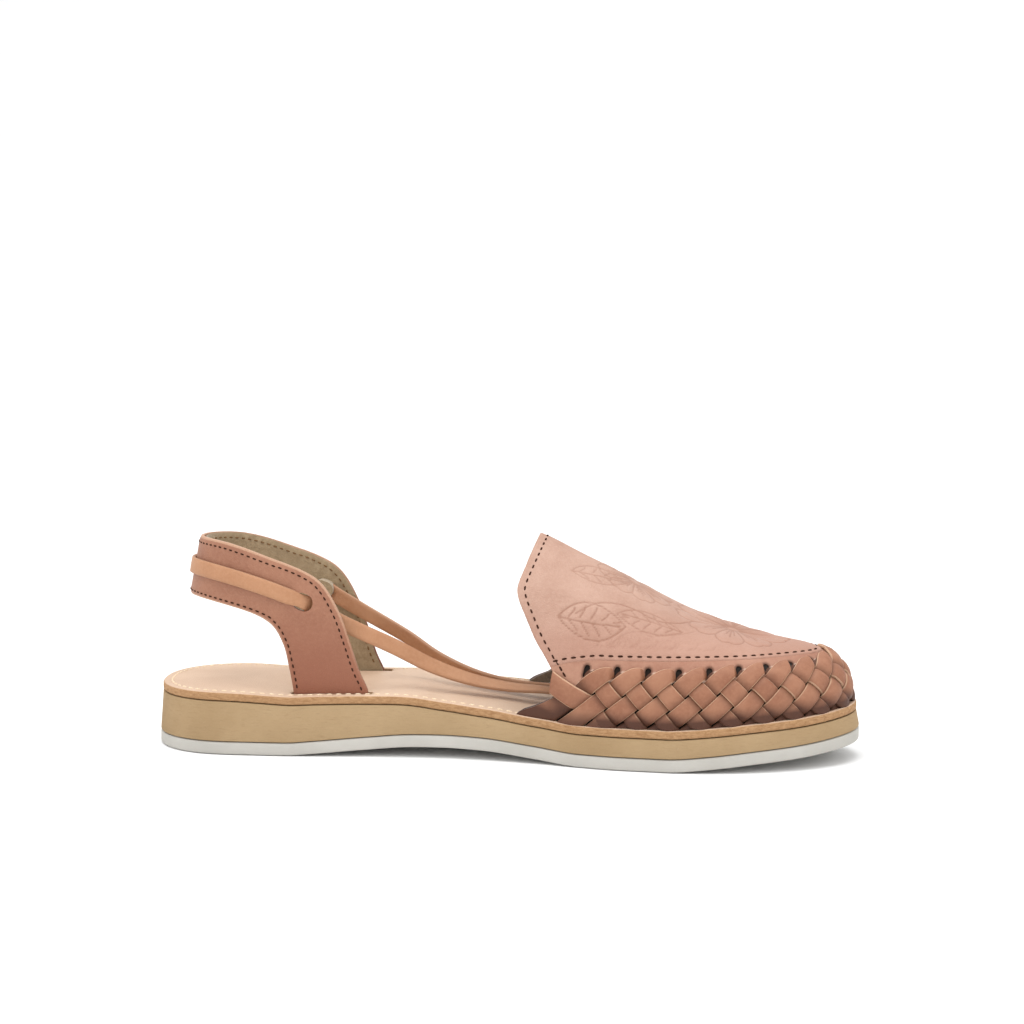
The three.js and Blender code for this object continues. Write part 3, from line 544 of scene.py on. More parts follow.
bellyRows = table(
    "along inner outer",
    (0.44, 0.062, 0.020),
    (0.56, 0.055, 0.018),
    (0.66, 0.026, 0.016),
    (0.80, 0.018, 0.018),
    (1.00, 0.010, 0.010),
)
bellyCurves = {-1: columnCurve(bellyRows, "inner"), 1: columnCurve(bellyRows, "outer")}


def featherLine(side):
    count = 700
    turn = np.sin(0.5 * np.pi * np.linspace(0, 1, count + 1))
    along = hood["back"] + (sole["length"] - hood["back"]) * turn
    at = outlinePoint(side, along)
    run = unit(at - outlinePoint(side, np.maximum(along - 0.02, 0)))
    run[-1] = (0, -side)
    out = side * np.stack([-run[:, 1], run[:, 0]], axis=1)
    foot = at - out * hood["featherInset"]
    steps = np.linalg.norm(np.diff(foot, axis=0), axis=1)
    return {"foot": foot, "out": out, "length": np.concatenate([[0], np.cumsum(steps)])}


feather = {side: featherLine(side) for side in (-1, 1)}
innerLength = feather[-1]["length"][-1]
outerLength = feather[1]["length"][-1]
roundLength = innerLength + outerLength
crestBack = hood["throatAlong"] - hood["crestLag"] * (hood["throatAlong"] - hood["back"])
peakRise = hood["throatHeight"] - float(insoleTop(hood["throatAlong"])) - hood["plugStep"]


def hoodControl(side, share):
    # four control points for each section, from the foot of the wall to the ridge
    line = feather[side]
    distance = np.asarray(share, float) * line["length"][-1]
    pick = lambda values: np.interp(distance, line["length"], values)
    foot = np.stack([pick(line["foot"][:, 0]), pick(line["foot"][:, 1])], axis=1)
    out = unit(np.stack([pick(line["out"][:, 0]), pick(line["out"][:, 1])], axis=1))
    along = foot[:, 0] + sole["heelBehind"]
    crestAlong = crestBack + (hood["crestEnd"] - crestBack) * (1 - np.power(1 - share, hood["crestPower"]))
    s = crestAlong / sole["length"]
    rise = ridgeCurves["rise"](s) * peakRise
    swell = bellyCurves[side](along / sole["length"]) * sole["ballWidth"]
    floor, crestFloor = insoleTop(along), insoleTop(crestAlong)
    start = np.column_stack([foot, floor])
    crest = np.column_stack([crestAlong - sole["heelBehind"], -ridgeCurves["lean"](s) * sole["ballWidth"],
                             crestFloor + rise])
    shoulder = np.column_stack([foot + out * swell[:, None], floor + ridgeCurves["shoulder"](s) * rise])
    crown = crest + (np.column_stack([foot, crest[:, 2]]) - crest) * ridgeCurves["spread"](s)[:, None]
    crown[:, 2] = crestFloor + ridgeCurves["crown"](s) * rise
    return np.stack([start, shoulder, crown, crest], axis=1)


def bezier(control, t):
    t = np.asarray(t)[..., None]
    s = 1 - t
    a, b, c, d = (control[:, None, k] if t.ndim == 3 else control[:, k] for k in range(4))
    return a * s ** 3 + 3 * b * s * s * t + 3 * c * s * t * t + d * t ** 3


def byArc(control, distance):
    # the point of each section at a distance up from its foot
    ts = np.linspace(0, 1, 41)
    samples = bezier(control, np.tile(ts, (len(control), 1)))
    steps = np.linalg.norm(np.diff(samples, axis=1), axis=2)
    length = np.concatenate([np.zeros((len(control), 1)), np.cumsum(steps, axis=1)], axis=1)
    inside = np.clip(distance, 0, length[:, -1])
    i = np.clip((length <= inside[:, None]).sum(axis=1) - 1, 0, len(ts) - 2)
    rows = np.arange(len(control))
    low, high = length[rows, i], length[rows, i + 1]
    t = ts[i] + (inside - low) / np.maximum(high - low, 1e-9) * (ts[1] - ts[0])
    point = bezier(control, t)
    below = np.minimum(distance, 0)[:, None]
    return point + unit(samples[:, 1] - samples[:, 0]) * below, length[:, -1]


def hoodPoint(around, up):
    # a point of the hood by its distance round the feather line and up the wall
    around, up = np.broadcast_arrays(np.asarray(around, float), np.asarray(up, float))
    flatAround, flatUp = around.ravel(), up.ravel()
    result = np.zeros((flatAround.size, 3))
    inner = flatAround <= innerLength
    shares = np.where(inner, flatAround / innerLength, (roundLength - flatAround) / outerLength)
    for side, chosen in ((-1, inner), (1, ~inner)):
        if chosen.any():
            control = hoodControl(side, np.clip(shares[chosen], 0, 1))
            result[chosen] = byArc(control, flatUp[chosen])[0]
    return result.reshape(around.shape + (3,))


def hoodFrame(around, up, step=0.4):
    point = hoodPoint(around, up)
    forward = hoodPoint(np.asarray(around) + step, up) - hoodPoint(np.asarray(around) - step, up)
    upward = hoodPoint(around, np.asarray(up) + step) - hoodPoint(around, np.asarray(up) - step)
    return point, unit(np.cross(forward, upward))


throatRows = table(
    "ahead up",
    (-0.022, 0.080), (-0.022, 0.208), (0.010, 0.264), (0.033, 0.305), (0.037, 0.340),
    (0.036, 0.405), (0.023, 0.484), (0.009, 0.556), (-0.005, 0.650), (-0.016, 0.728),
    (-0.018, 0.785), (-0.008, 0.870), (0.010, 1.000), (0.034, 1.160),
)
cornerX = hood["throatAlong"] - sole["heelBehind"]
throatLine = splineThrough(
    [(cornerX + row["ahead"] * sole["length"], row["up"] * hood["throatHeight"]) for row in throatRows], 12)
seamRows = table("along drop", (0.00, 1.00), (0.36, 0.48), (0.61, 0.22), (1.00, 0.00))
seamShare = columnCurve(seamRows, "drop")


def straightened(points):
    # X as the side view sees it, with the outer side's lag taken out
    slope = hood["throatSlant"] / sole["ballWidth"]
    return points[..., 0] + slope * (points[..., 1] + hood["throatCorner"] * sole["ballWidth"])


def pastThroat(points):
    # mm ahead of the throat's edge
    edge = np.interp(points[..., 2], throatLine[:, 1], throatLine[:, 0])
    return straightened(points) - edge


def overSeam(points):
    # mm above the plate's lower seam
    share = np.clip((straightened(points) - cornerX) / hood["seamRise"], 0, 1)
    return points[..., 2] - (hood["plugEdge"] - seamShare(share) * hood["seamDip"])


def awayFrom(points, line):
    # mm from each point to the nearest point of a dense line
    nearest = []
    for part in np.array_split(points.reshape(-1, 3), 60):
        nearest.append(np.sqrt(((part[:, None] - line) ** 2).sum(axis=2).min(axis=1)))
    return np.concatenate(nearest).reshape(points.shape[:-1])


def hoodSheet(stations, steps):
    # the whole hood as a grid, from the inner foot over the ridge to the outer foot
    shares = np.linspace(0, 1, stations + 1)
    ramp = np.linspace(0, 1, steps + 1)
    ramp = 0.5 * (ramp + np.sin(0.5 * np.pi * ramp))
    grid = np.zeros((stations + 1, 2 * steps + 1, 3))
    across = np.zeros((stations + 1, 2 * steps + 1))
    for side in (-1, 1):
        control = hoodControl(side, shares)
        for j, part in enumerate(ramp):
            total = byArc(control, np.zeros(stations + 1))[1]
            column = j if side < 0 else 2 * steps - j
            grid[:, column] = byArc(control, part * total)[0]
            across[:, column] = side * (1 - part) * total
    forward = np.gradient(grid, axis=0)
    over = np.gradient(grid, axis=1)
    normals = unit(np.cross(forward, over))
    normals[-1] = unit(normals[-2] + np.array([0.4, 0, 0]))
    return grid, normals, across


def trimSheet(points, normals, faces, extras, cuts):
    # cuts a sheet along level lines of functions of place; each cut is (function, level, drop)
    shape = bmesh.new()
    layers = [shape.verts.layers.float.new(key) for key in extras]
    layers += [shape.verts.layers.float.new("n" + axis) for axis in "xyz"]
    values = np.column_stack([*extras.values(), normals])
    for point, row in zip(points, values):
        vert = shape.verts.new(point)
        for layer, value in zip(layers, row):
            vert[layer] = value
    shape.verts.ensure_lookup_table()
    for face in faces:
        shape.faces.new([shape.verts[i] for i in face])
    for function, level, drop in cuts:
        verts = list(shape.verts)
        for index, vert in enumerate(verts):
            vert.index = index
        amount = function(np.array([vert.co[:] for vert in verts])) - level
        amount[np.abs(amount) < 0.03] = 0.0
        fresh = {}
        for edge in list(shape.edges):
            first, second = edge.verts
            low, high = amount[first.index], amount[second.index]
            if low * high < 0:
                fresh[edge] = (first, low / (low - high))
        onLine = {vert for vert in verts if amount[vert.index] == 0.0}
        touched = {face for edge in fresh for face in edge.link_faces}
        touched |= {face for vert in onLine for face in vert.link_faces}
        below = {vert for vert in verts if amount[vert.index] < 0}
        for edge, (first, share) in fresh.items():
            onLine.add(bmesh.utils.edge_split(edge, first, share)[1])
        for face in touched:
            corners = [vert for vert in face.verts if vert in onLine]
            if len(corners) == 2 and not any(corners[1] in edge.verts for edge in corners[0].link_edges):
                bmesh.utils.face_split(face, corners[0], corners[1])
        if drop:
            bmesh.ops.delete(shape, geom=list(below), context="VERTS")
    bmesh.ops.remove_doubles(shape, verts=list(shape.verts), dist=0.12)
    shape.verts.ensure_lookup_table()
    for index, vert in enumerate(shape.verts):
        vert.index = index
    places = np.array([vert.co[:] for vert in shape.verts])
    rows = np.array([[vert[layer] for layer in layers] for vert in shape.verts])
    sheetFaces = [[vert.index for vert in face.verts] for face in shape.faces]
    shape.free()
    count = len(extras)
    kept = {key: rows[:, k] for k, key in enumerate(extras)}
    return places, unit(rows[:, count:]), sheetFaces, kept


def openEdges(faces):
    # the edges that only one face has, in that face's direction
    edges = set()
    for face in faces:
        for first, second in zip(face, face[1:] + face[:1]):
            if (second, first) in edges:
                edges.remove((second, first))
            else:
                edges.add((first, second))
    return edges


def thickenSheet(points, normals, faces, outward, inward):
    # a closed wall from a sheet, offset both ways along its normals by one distance or one for each point
    count = len(points)
    outer = points + normals * np.asarray(outward).reshape(-1, 1)
    inner = points - normals * np.asarray(inward).reshape(-1, 1)
    solid = [tuple(face) for face in faces]
    solid += [tuple(reversed([v + count for v in face])) for face in faces]
    solid += [(a, a + count, b + count, b) for a, b in openEdges(faces)]
    return np.vstack([outer, inner]), solid


def levelLine(grid, field, alongColumns):
    # where each grid line first rises through zero, in order
    if not alongColumns:
        grid, field = grid.transpose(1, 0, 2), field.T
    found = []
    for line, values in zip(grid, field):
        crossing = np.where((values[:-1] <= 0) & (values[1:] > 0))[0]
        if len(crossing):
            k = crossing[0]
            share = values[k] / (values[k] - values[k + 1])
            found.append(line[k] + (line[k + 1] - line[k]) * share)
    return np.array(found)


def sheetFacesOf(grid):
    # faces of the whole hood, with the two halves of the last rung at the toe merged
    rows, columns = grid.shape[:2]
    last = (rows - 1) * columns
    middle = columns // 2
    merged = lambda i: last + 2 * middle - (i - last) if i > last + middle else i
    faces = []
    for face in gridFaces(rows, columns):
        corners = [merged(i) for i in face]
        corners = [v for n, v in enumerate(corners) if v != corners[n - 1]]
        if len(corners) > 2:
            faces.append(corners)
    return faces


# Tooling: floral strokes pressed into the plate, in mm along the shoe and across from the ridge

tooling = {"depth": 0.3, "width": 0.38, "petalLift": 0.22, "clearOfStitches": 3.0, "grooveDepth": 0.16}
flowers = table(
    "at inner outer petals strength lift",
    ((205, 0), 2.6, 21.0, 10, 0.85, 1.0),
    ((170, 0), 2.2, 13.5, 8, 0.75, 0.8),
)
leaves = table(
    "at angle length width veins strength",
    ((146, 33), -9, 24, 14, 5, 1.0),
    ((189, 22), 172, 23, 10, 5, 0.85),
    ((149, 13), -20, 20, 9, 4, 0.7),
)
stems = table(
    "corners strength",
    ([(152, 30), (160, 23), (170, 20), (180, 21), (187, 17), (190, 13)], 0.9),
    ([(163, 41), (168, 34), (173, 30), (180, 29), (188, 24), (193, 19)], 0.6),
)
hatching = table(
    "start end count slant length strength",
    ((158, 42), (200, 29), 34, -1.0, 5.0, 0.5),
    ((163, 38), (196, 26), 26, -1.1, 3.6, 0.4),
    ((170, 33), (196, 20), 18, -1.2, 3.0, 0.35),
)


def leafStrokes(leaf):
    # a pointed leaf with a midrib and slanting veins
    turn = math.radians(leaf["angle"])
    along = np.array([math.cos(turn), math.sin(turn)])
    side = np.array([-along[1], along[0]])
    place = lambda u, v: np.asarray(leaf["at"]) + along * u * leaf["length"] + side * v * leaf["width"]
    t = np.linspace(0, 1, 15)
    bow = np.sin(np.pi * t) ** 0.85
    strokes = [np.array([place(u, 0.5 * v) for u, v in zip(t, bow)]),
               np.array([place(u, -0.5 * v) for u, v in zip(t, bow)]),
               np.array([place(u, 0.06 * math.sin(3 * u)) for u in np.linspace(0.03, 0.92, 10)])]
    for k in range(leaf["veins"]):
        u = 0.16 + 0.66 * k / (leaf["veins"] - 1)
        reach = 0.40 * math.sin(math.pi * min(u + 0.1, 1))
        for way in (-1, 1):
            strokes.append(np.array([place(u, way * 0.05), place(u + 0.07, way * reach * 0.6),
                                     place(u + 0.11, way * reach)]))
    return strokes


def flowerStrokes(flower):
    # petals round a centre, each with a notched edge, a side and three creases
    inner, outer = flower["inner"], flower["outer"]
    x, y = flower["at"]
    half = math.pi / flower["petals"]
    spoke = lambda reach, turn: (x + reach * math.cos(turn), y + reach * math.sin(turn))
    strokes = []
    for k in range(flower["petals"]):
        middle = 2 * half * (k + 0.5)
        rim = []
        for t in np.linspace(-1, 1, 13):
            notch = 0.06 * math.exp(-(t / 0.18) ** 2)
            reach = outer * (0.80 + 0.20 * math.cos(0.5 * math.pi * t) ** 0.6 - notch)
            rim.append(spoke(reach, middle + half * t * 0.96))
        strokes.append(np.array(rim))
        for spin, far in ((-0.98, 0.78), (-0.35, 0.62), (0.0, 0.74), (0.35, 0.62)):
            reaches = np.linspace(inner * (1.15 if spin > -0.9 else 1.0), outer * far, 5)
            strokes.append(np.array([spoke(reach, middle + half * spin) for reach in reaches]))
    strokes.append(np.array([spoke(inner * 0.9, turn) for turn in np.linspace(0, 2 * math.pi, 19)]))
    return strokes


def hatchStrokes(row):
    # short uneven strokes side by side
    strokes = []
    for k in range(row["count"]):
        share = (k + 0.5) / row["count"]
        foot = np.asarray(row["start"]) * (1 - share) + np.asarray(row["end"]) * share
        turn = row["slant"] + 0.25 * math.sin(5.1 * k)
        reach = row["length"] * (0.8 + 0.3 * math.sin(2.3 * k))
        strokes.append(np.array([foot, foot + np.array([math.cos(turn), math.sin(turn)]) * reach]))
    return strokes


def allStrokes():
    # (stroke, strength), drawn for one half; the other half is its mirror
    half = [(stroke, leaf["strength"]) for leaf in leaves for stroke in leafStrokes(leaf)]
    half += [(splineThrough(stem["corners"], 6), stem["strength"]) for stem in stems]
    half += [(stroke, row["strength"]) for row in hatching for stroke in hatchStrokes(row)]
    mirrored = [(stroke * np.array([1, -1]), strength) for stroke, strength in half]
    full = [(stroke, flower["strength"]) for flower in flowers for stroke in flowerStrokes(flower)]
    return half + mirrored + full


def pressedDepth(spots):
    # how deep the tooling is at each spot, 1 in the middle of the strongest line
    depth = np.zeros(len(spots))
    for stroke, strength in allStrokes():
        low, high = stroke.min(axis=0) - 1.5, stroke.max(axis=0) + 1.5
        near = np.where(((spots > low) & (spots < high)).all(axis=1))[0]
        if not len(near):
            continue
        place = spots[near]
        best = np.full(len(near), 1e9)
        for a, b in zip(stroke[:-1], stroke[1:]):
            run = b - a
            share = np.clip(((place - a) @ run) / (run @ run), 0, 1)
            best = np.minimum(best, np.linalg.norm(place - a - share[:, None] * run, axis=1))
        mark = strength * np.exp(-(best / tooling["width"]) ** 2)
        depth[near] = np.maximum(depth[near], mark)
    return depth


def petalSwell(spots, flower):
    # each petal stands up a little along its middle
    away = spots - np.asarray(flower["at"])
    reach = np.linalg.norm(away, axis=1)
    turn = np.arctan2(away[:, 1], away[:, 0])
    window = smoothRise((reach - flower["inner"]) / 3) * smoothRise((flower["outer"] - reach) / 4)
    return flower["lift"] * window * (0.5 - 0.5 * np.cos(flower["petals"] * turn))


plateLook = {
    "dark": (0.36, 0.205, 0.148), "light": (0.435, 0.268, 0.202), "grain": (0.51, 0.345, 0.27),
    "edge": (0.50, 0.31, 0.21), "roughness": 0.5, "specular": 0.3, "bump": 0.42, "cloudScale": 55,
    "tool": (0.21, 0.085, 0.045), "toolShare": 0.55,
    "low": (0.37, 0.185, 0.13), "lowFrom": 0.036, "lowTo": 0.058, "lowShare": 0.55,
}
bandLook = {
    "dark": (0.31, 0.145, 0.095), "light": (0.39, 0.205, 0.14), "grain": (0.44, 0.26, 0.18),
    "edge": (0.60, 0.42, 0.33), "roughness": 0.6, "specular": 0.25, "bump": 0.3, "cloudScale": 55,
    "shade": (0.05, 0.02, 0.012),
}
stripLook = {
    "dark": (0.24, 0.097, 0.053), "light": (0.325, 0.15, 0.086), "grain": (0.37, 0.185, 0.11),
    "edge": (0.50, 0.31, 0.20), "roughness": 0.55, "specular": 0.28, "bump": 0.3, "cloudScale": 90,
    "shade": (0.055, 0.018, 0.009),
}


def plateEdges(grid):
    # the lower seam of both sides in one run, and the throat's edge
    middle = grid.shape[1] // 2
    inner = levelLine(grid[:, :middle + 1], overSeam(grid[:, :middle + 1]), True)
    outer = levelLine(grid[:, ::-1][:, :middle + 1], overSeam(grid[:, ::-1][:, :middle + 1]), True)
    seamLine = np.vstack([inner, outer[::-1]])
    return evenly(seamLine, 1200), evenly(levelLine(grid, pastThroat(grid), False), 500)


def flatSheet(grid, normals):
    # the grid as a list of points, their normals and its faces
    count = (len(grid) - 1) * grid.shape[1] + grid.shape[1] // 2 + 1
    return grid.reshape(-1, 3)[:count], normals.reshape(-1, 3)[:count], sheetFacesOf(grid)


def buildPlate(grid, sheet, across):
    # cut along its seam and the throat, with finer rings where its edge is rounded
    cuts = [(overSeam, 0.0, True), (pastThroat, 0.0, True), (overSeam, 0.25, False), (overSeam, 0.8, False),
            (pastThroat, 0.3, False), (pastThroat, 0.9, False)]
    places, outs, faces, kept = trimSheet(*sheet, {"across": across}, cuts)
    seamLine, throatEdge = plateEdges(grid)
    rim = np.minimum(awayFrom(places, seamLine), awayFrom(places, throatEdge))
    rounding = np.sqrt(1 - (1 - np.clip(rim / hood["plateRound"], 0, 1)) ** 2)
    spots = np.column_stack([places[:, 0] + sole["heelBehind"], kept["across"]])
    guard = smoothRise((rim - tooling["clearOfStitches"]) / 2.0)
    pressed = pressedDepth(spots) * guard
    swell = sum(petalSwell(spots, flower) for flower in flowers) * guard
    groove = np.exp(-((rim - vampStitch["plateInset"]) / 0.55) ** 2)
    lift = hood["plugStep"] * (0.25 + 0.75 * rounding) + swell * tooling["petalLift"]
    lift -= pressed * tooling["depth"] + groove * tooling["grooveDepth"]
    solid, solidFaces = thickenSheet(places, outs, faces, lift, hood["plateSink"])
    edge = 1 - smoothRise(rim / 0.55)
    tool = pressed + 0.25 * groove
    attributes = {"tool": np.tile(tool, 2), "edge": np.concatenate([edge * 0.6, np.ones(len(edge))])}
    finish = leatherFinish("tooled_leather", plateLook)
    makePiece("tooled_plate", solid, solidFaces, finish, "vamp", 60, attributes)
    print("plate", len(solidFaces))


def buildBand(sheet):
    # cut ragged below and round its slits, and torn pale where the strips pull on it
    low = lambda points: overSeam(points) + bandDepth(points)
    high = lambda points: hood["bandUnder"] - overSeam(points)
    cuts = [(low, 0.0, True), (pastThroat, 0.0, True), (high, 0.0, True), (slitDistance, 0.0, True),
            (slitDistance, 0.35, False)]
    places, outs, faces = trimSheet(*sheet, {}, cuts)[:3]
    near = slitDistance(places)
    lift = hood["band"] - 0.35 * (1 - smoothRise(np.minimum(near, low(places)) / 0.8))
    solid, solidFaces = thickenSheet(places, outs, faces, lift, hood["bandSink"])
    shade = 0.7 * (1 - smoothRise(near / 0.9))
    edge = (1 - smoothRise((low(places) - 0.4) / 1.6)) * 0.9
    torn = hoodPoint(slitPlaces + 2.5, np.full(len(slitPlaces), slitUp - 0.3))
    edge = np.maximum(edge, np.exp(-(awayFrom(places, torn) / 1.5) ** 2))
    attributes = {"edge": np.tile(edge, 2), "shade": np.concatenate([shade, np.full(len(shade), 0.7)])}
    finish = leatherFinish("band_leather", bandLook)
    makePiece("vamp_band", solid, solidFaces, finish, "vamp", 60, attributes)
    print("band", len(solidFaces))


def buildLining():
    # the wall inside all of it: raw leather, in shade where it shows between the strips
    grid, normals = hoodSheet(hood["liningStations"], hood["liningSteps"])[:2]
    overInsole = lambda points: points[..., 2] - insoleTop(points[..., 0] + sole["heelBehind"]) - 0.2
    cuts = [(pastThroat, 0.35, True), (overInsole, 0.0, True)]
    places, outs, faces = trimSheet(*flatSheet(grid, normals), {}, cuts)[:3]
    solid, solidFaces = thickenSheet(places, outs, faces, -0.35, hood["wall"])
    shade = np.repeat([1.0, 0.0], len(places))
    finish = suedeFinish("vamp_lining", (0.12, 0.085, 0.06), (0.23, 0.17, 0.125), deep=(0.012, 0.007, 0.005))
    makePiece("vamp_lining", solid, solidFaces, finish, "vamp", 60, {"shade": shade})


def buildHood():
    grid, normals, across = hoodSheet(hood["stations"], hood["steps"])
    sheet = flatSheet(grid, normals)
    buildPlate(grid, sheet, across.reshape(-1)[:len(sheet[0])])
    buildBand(sheet)
    buildLining()
    return grid


# Braid: strips that climb and strips that fall, each over and under its neighbours

braid = {
    "pitch": 11, "rising": 38, "falling": 48, "foot": 1.1, "footUp": 0.12, "start": -1.3,
    "risingFill": 0.93, "fallingFill": 0.78, "uneven": 0.02, "thickness": 1.3, "crown": 0.38,
    "over": 2.2, "under": 0.5, "firstRising": 2, "firstFalling": 4, "fallingReach": 3.3,
    "taperFrom": 0.68, "taperTo": 0.18, "dive": 1.4, "sink": 2.6, "fallingSink": 1.6, "firstSink": 0.3,
    "slitRow": 3.77, "slitPitches": 0.7, "slitWidth": 2.1, "slitTall": 4.8, "slitDrop": 1.3, "slitGap": 0.9,
}
tanRising = math.tan(math.radians(braid["rising"]))
tanFalling = math.tan(math.radians(braid["falling"]))
rowHeight = braid["pitch"] / (1 / tanRising + 1 / tanFalling)
stripCount = int(roundLength / braid["pitch"])


def slitRound(i):
    # where strip number i reaches its slit, round the feather line
    along = braid["pitch"] * (i + braid["slitPitches"])
    return braid["start"] + along + rowHeight * braid["slitRow"] / tanRising


slitUp = rowHeight * braid["slitRow"] + braid["foot"] - braid["slitDrop"]
slitPlaces = np.array([slitRound(i) for i in range(1, stripCount) if slitRound(i) < roundLength - 35])
slitSpan = 0.5 * (braid["slitTall"] - braid["slitWidth"])
slitTops = hoodPoint(slitPlaces + 0.3, np.full(len(slitPlaces), slitUp + slitSpan))
slitFeet = hoodPoint(slitPlaces - 0.3, np.full(len(slitPlaces), slitUp - slitSpan))


def slitDistance(points):
    # mm outside the nearest slit, each slit a capsule standing on the wall
    best = np.full(points.shape[:-1], 1e9)
    for low, high in zip(slitFeet, slitTops):
        run = high - low
        share = np.clip(((points - low) @ run) / (run @ run), 0, 1)
        best = np.minimum(best, np.linalg.norm(points - low - share[..., None] * run, axis=-1))
    return best - 0.5 * braid["slitWidth"]


def bandDepth(points):
    # how far below the seam the band reaches
    corner = hood["bandCorner"] * (1 - smoothRise((pastThroat(points) - 3) / 14))
    x = points[..., 0]
    return hood["bandWidth"] + corner + 0.7 * np.sin(x * 0.9) + 0.4 * np.sin(x * 2.3 + 1)


def weave(phase):
    # over and under in turn, 1 to -1, with flat tops
    return np.tanh(1.7 * np.cos(np.pi * phase)) / math.tanh(1.7)


# a strip's section, half a width and a thickness taken as 1, with how raw each corner is
stripSection = table(
    "across up raw",
    (-0.90, 0.90, 0.35), (-0.62, 0.98, 0), (-0.3, 1.0, 0), (0, 1.0, 0), (0.3, 1.0, 0), (0.62, 0.98, 0),
    (0.90, 0.90, 0.35), (1.0, 0.62, 1), (1.0, 0.25, 1), (0.86, 0.0, 1), (0.3, 0.0, 0.6), (-0.3, 0.0, 0.6),
    (-0.86, 0.0, 1), (-1.0, 0.25, 1), (-1.0, 0.62, 1),
)


def risingStrip(i, m, s, half, footDrop):
    # a and b count the lattice's two families of strips, over says how far this one lies on top,
    # and the last value is its phase in the weave
    near = np.clip((s - braid["taperFrom"]) / (1 - braid["taperFrom"]), 0, 1)
    top = -1 + (1 + braid["taperTo"]) * near ** 2.4
    first = i == braid["firstRising"]
    if first:
        # its lower part spreads to the throat and is cut there
        top = top - 1.4 * (1 - smoothRise(s / 0.5))
    # the upper edge rounds down to the slit
    a = i + 0.5 + half * (1 - (1 - m) * (1 - top) / 2)
    low = a[:1] - footDrop
    end = slitRound(i) - braid["slitGap"] - braid["start"]
    high = a + (end - braid["pitch"] * a) * tanRising / rowHeight
    b = low + s * (high - low)
    alone = b < braid["firstFalling"] + 0.5
    over = np.where((b > i + 3.5) | alone, 1.0, -weave(b - i - 0.5))
    if first:
        over = np.where(alone, 0.2 - 1.2 * smoothRise((b - 2.8) / 0.8), over)
    return a, b, over, b - i - 1.5


def fallingStrip(i, m, s, half, footDrop):
    # the same for a strip that falls towards the toe
    b = i + 0.5 + half * m + 0 * s
    high = b + footDrop
    first = i == braid["firstFalling"]
    low = i - 2.7 - 0.4 * m if first else i - braid["fallingReach"]
    a = low + s * (high - low)
    if first:
        # wide and turned up, over everything, to an upright end at the throat
        b = b + 0.13 * smoothRise((3.6 - a) / 0.6) * m - 0.35 * np.maximum(3.3 - a, 0)
    # each falling strip is narrower at its foot
    b = b + (m < 0) * 0.16 * (1 - smoothRise((b - a) / 0.9)) * -m
    over = np.where(a < i - (1.5 if first else 2.5), 1.0 if first else -1.0, weave(i + 0.5 - a))
    return a, b, over, i + 0.5 - a


def stripSheet(rising, i, samples=64):
    # strip number i, sampled along its length by s and round its section by m across and h up
    m, h = (np.array([[row[key] for row in stripSection]], float) for key in ("across", "up"))
    s = np.linspace(0, 1, samples)[:, None]
    uneven = 1.0 + braid["uneven"] * rng.standard_normal()
    half = 0.5 * braid["risingFill" if rising else "fallingFill"] * uneven
    footDrop = (braid["foot"] - braid["footUp"]) / rowHeight
    a, b, over, phase = (risingStrip if rising else fallingStrip)(i, m, s, half, footDrop)
    up = rowHeight * (b - a) + braid["foot"]
    around = braid["start"] + braid["pitch"] * a + rowHeight * (b - a) / tanRising
    middle = 0.5 * (braid["over"] + braid["under"])
    lift = middle + 0.5 * (braid["over"] - braid["under"]) * over
    if rising:
        left = slitRound(i) - braid["slitGap"] - around
        lift = lift - braid["sink"] * (1 - smoothRise(left / braid["dive"]))
    else:
        sink = braid["firstSink" if i == braid["firstFalling"] else "fallingSink"]
        lift = lift - sink * (1 - smoothRise((a - a[:1]) / 0.45))
    height = lift - braid["thickness"] * (1 - h) + braid["crown"] * (1 - m ** 2) * h
    # shade where it goes under a neighbour and near the sole
    soft = np.where(over >= 0.999, 0, 0.5 - 0.5 * np.cos(np.pi * phase))
    hidden = np.maximum(0.5 - 0.5 * over, 0.75 * soft ** 1.3)
    if not rising:
        hidden = np.maximum(hidden, 0.5 * (1 - smoothRise((up - 1.0) / 4)))
    shade = np.clip(hidden * 0.8 + (1 - smoothRise((up - 0.5) / 6.5)) * 0.85, 0, 0.93)
    return around, up, height, shade


def closeHoles(faces):
    # fills each open loop that a cut has left
    after = dict(openEdges(faces))
    loops = []
    while after:
        start, step = after.popitem()
        loop = [start]
        while step != start and step in after:
            loop.append(step)
            step = after.pop(step)
        if len(loop) > 2:
            loops.append(loop[::-1])
    return faces + loops


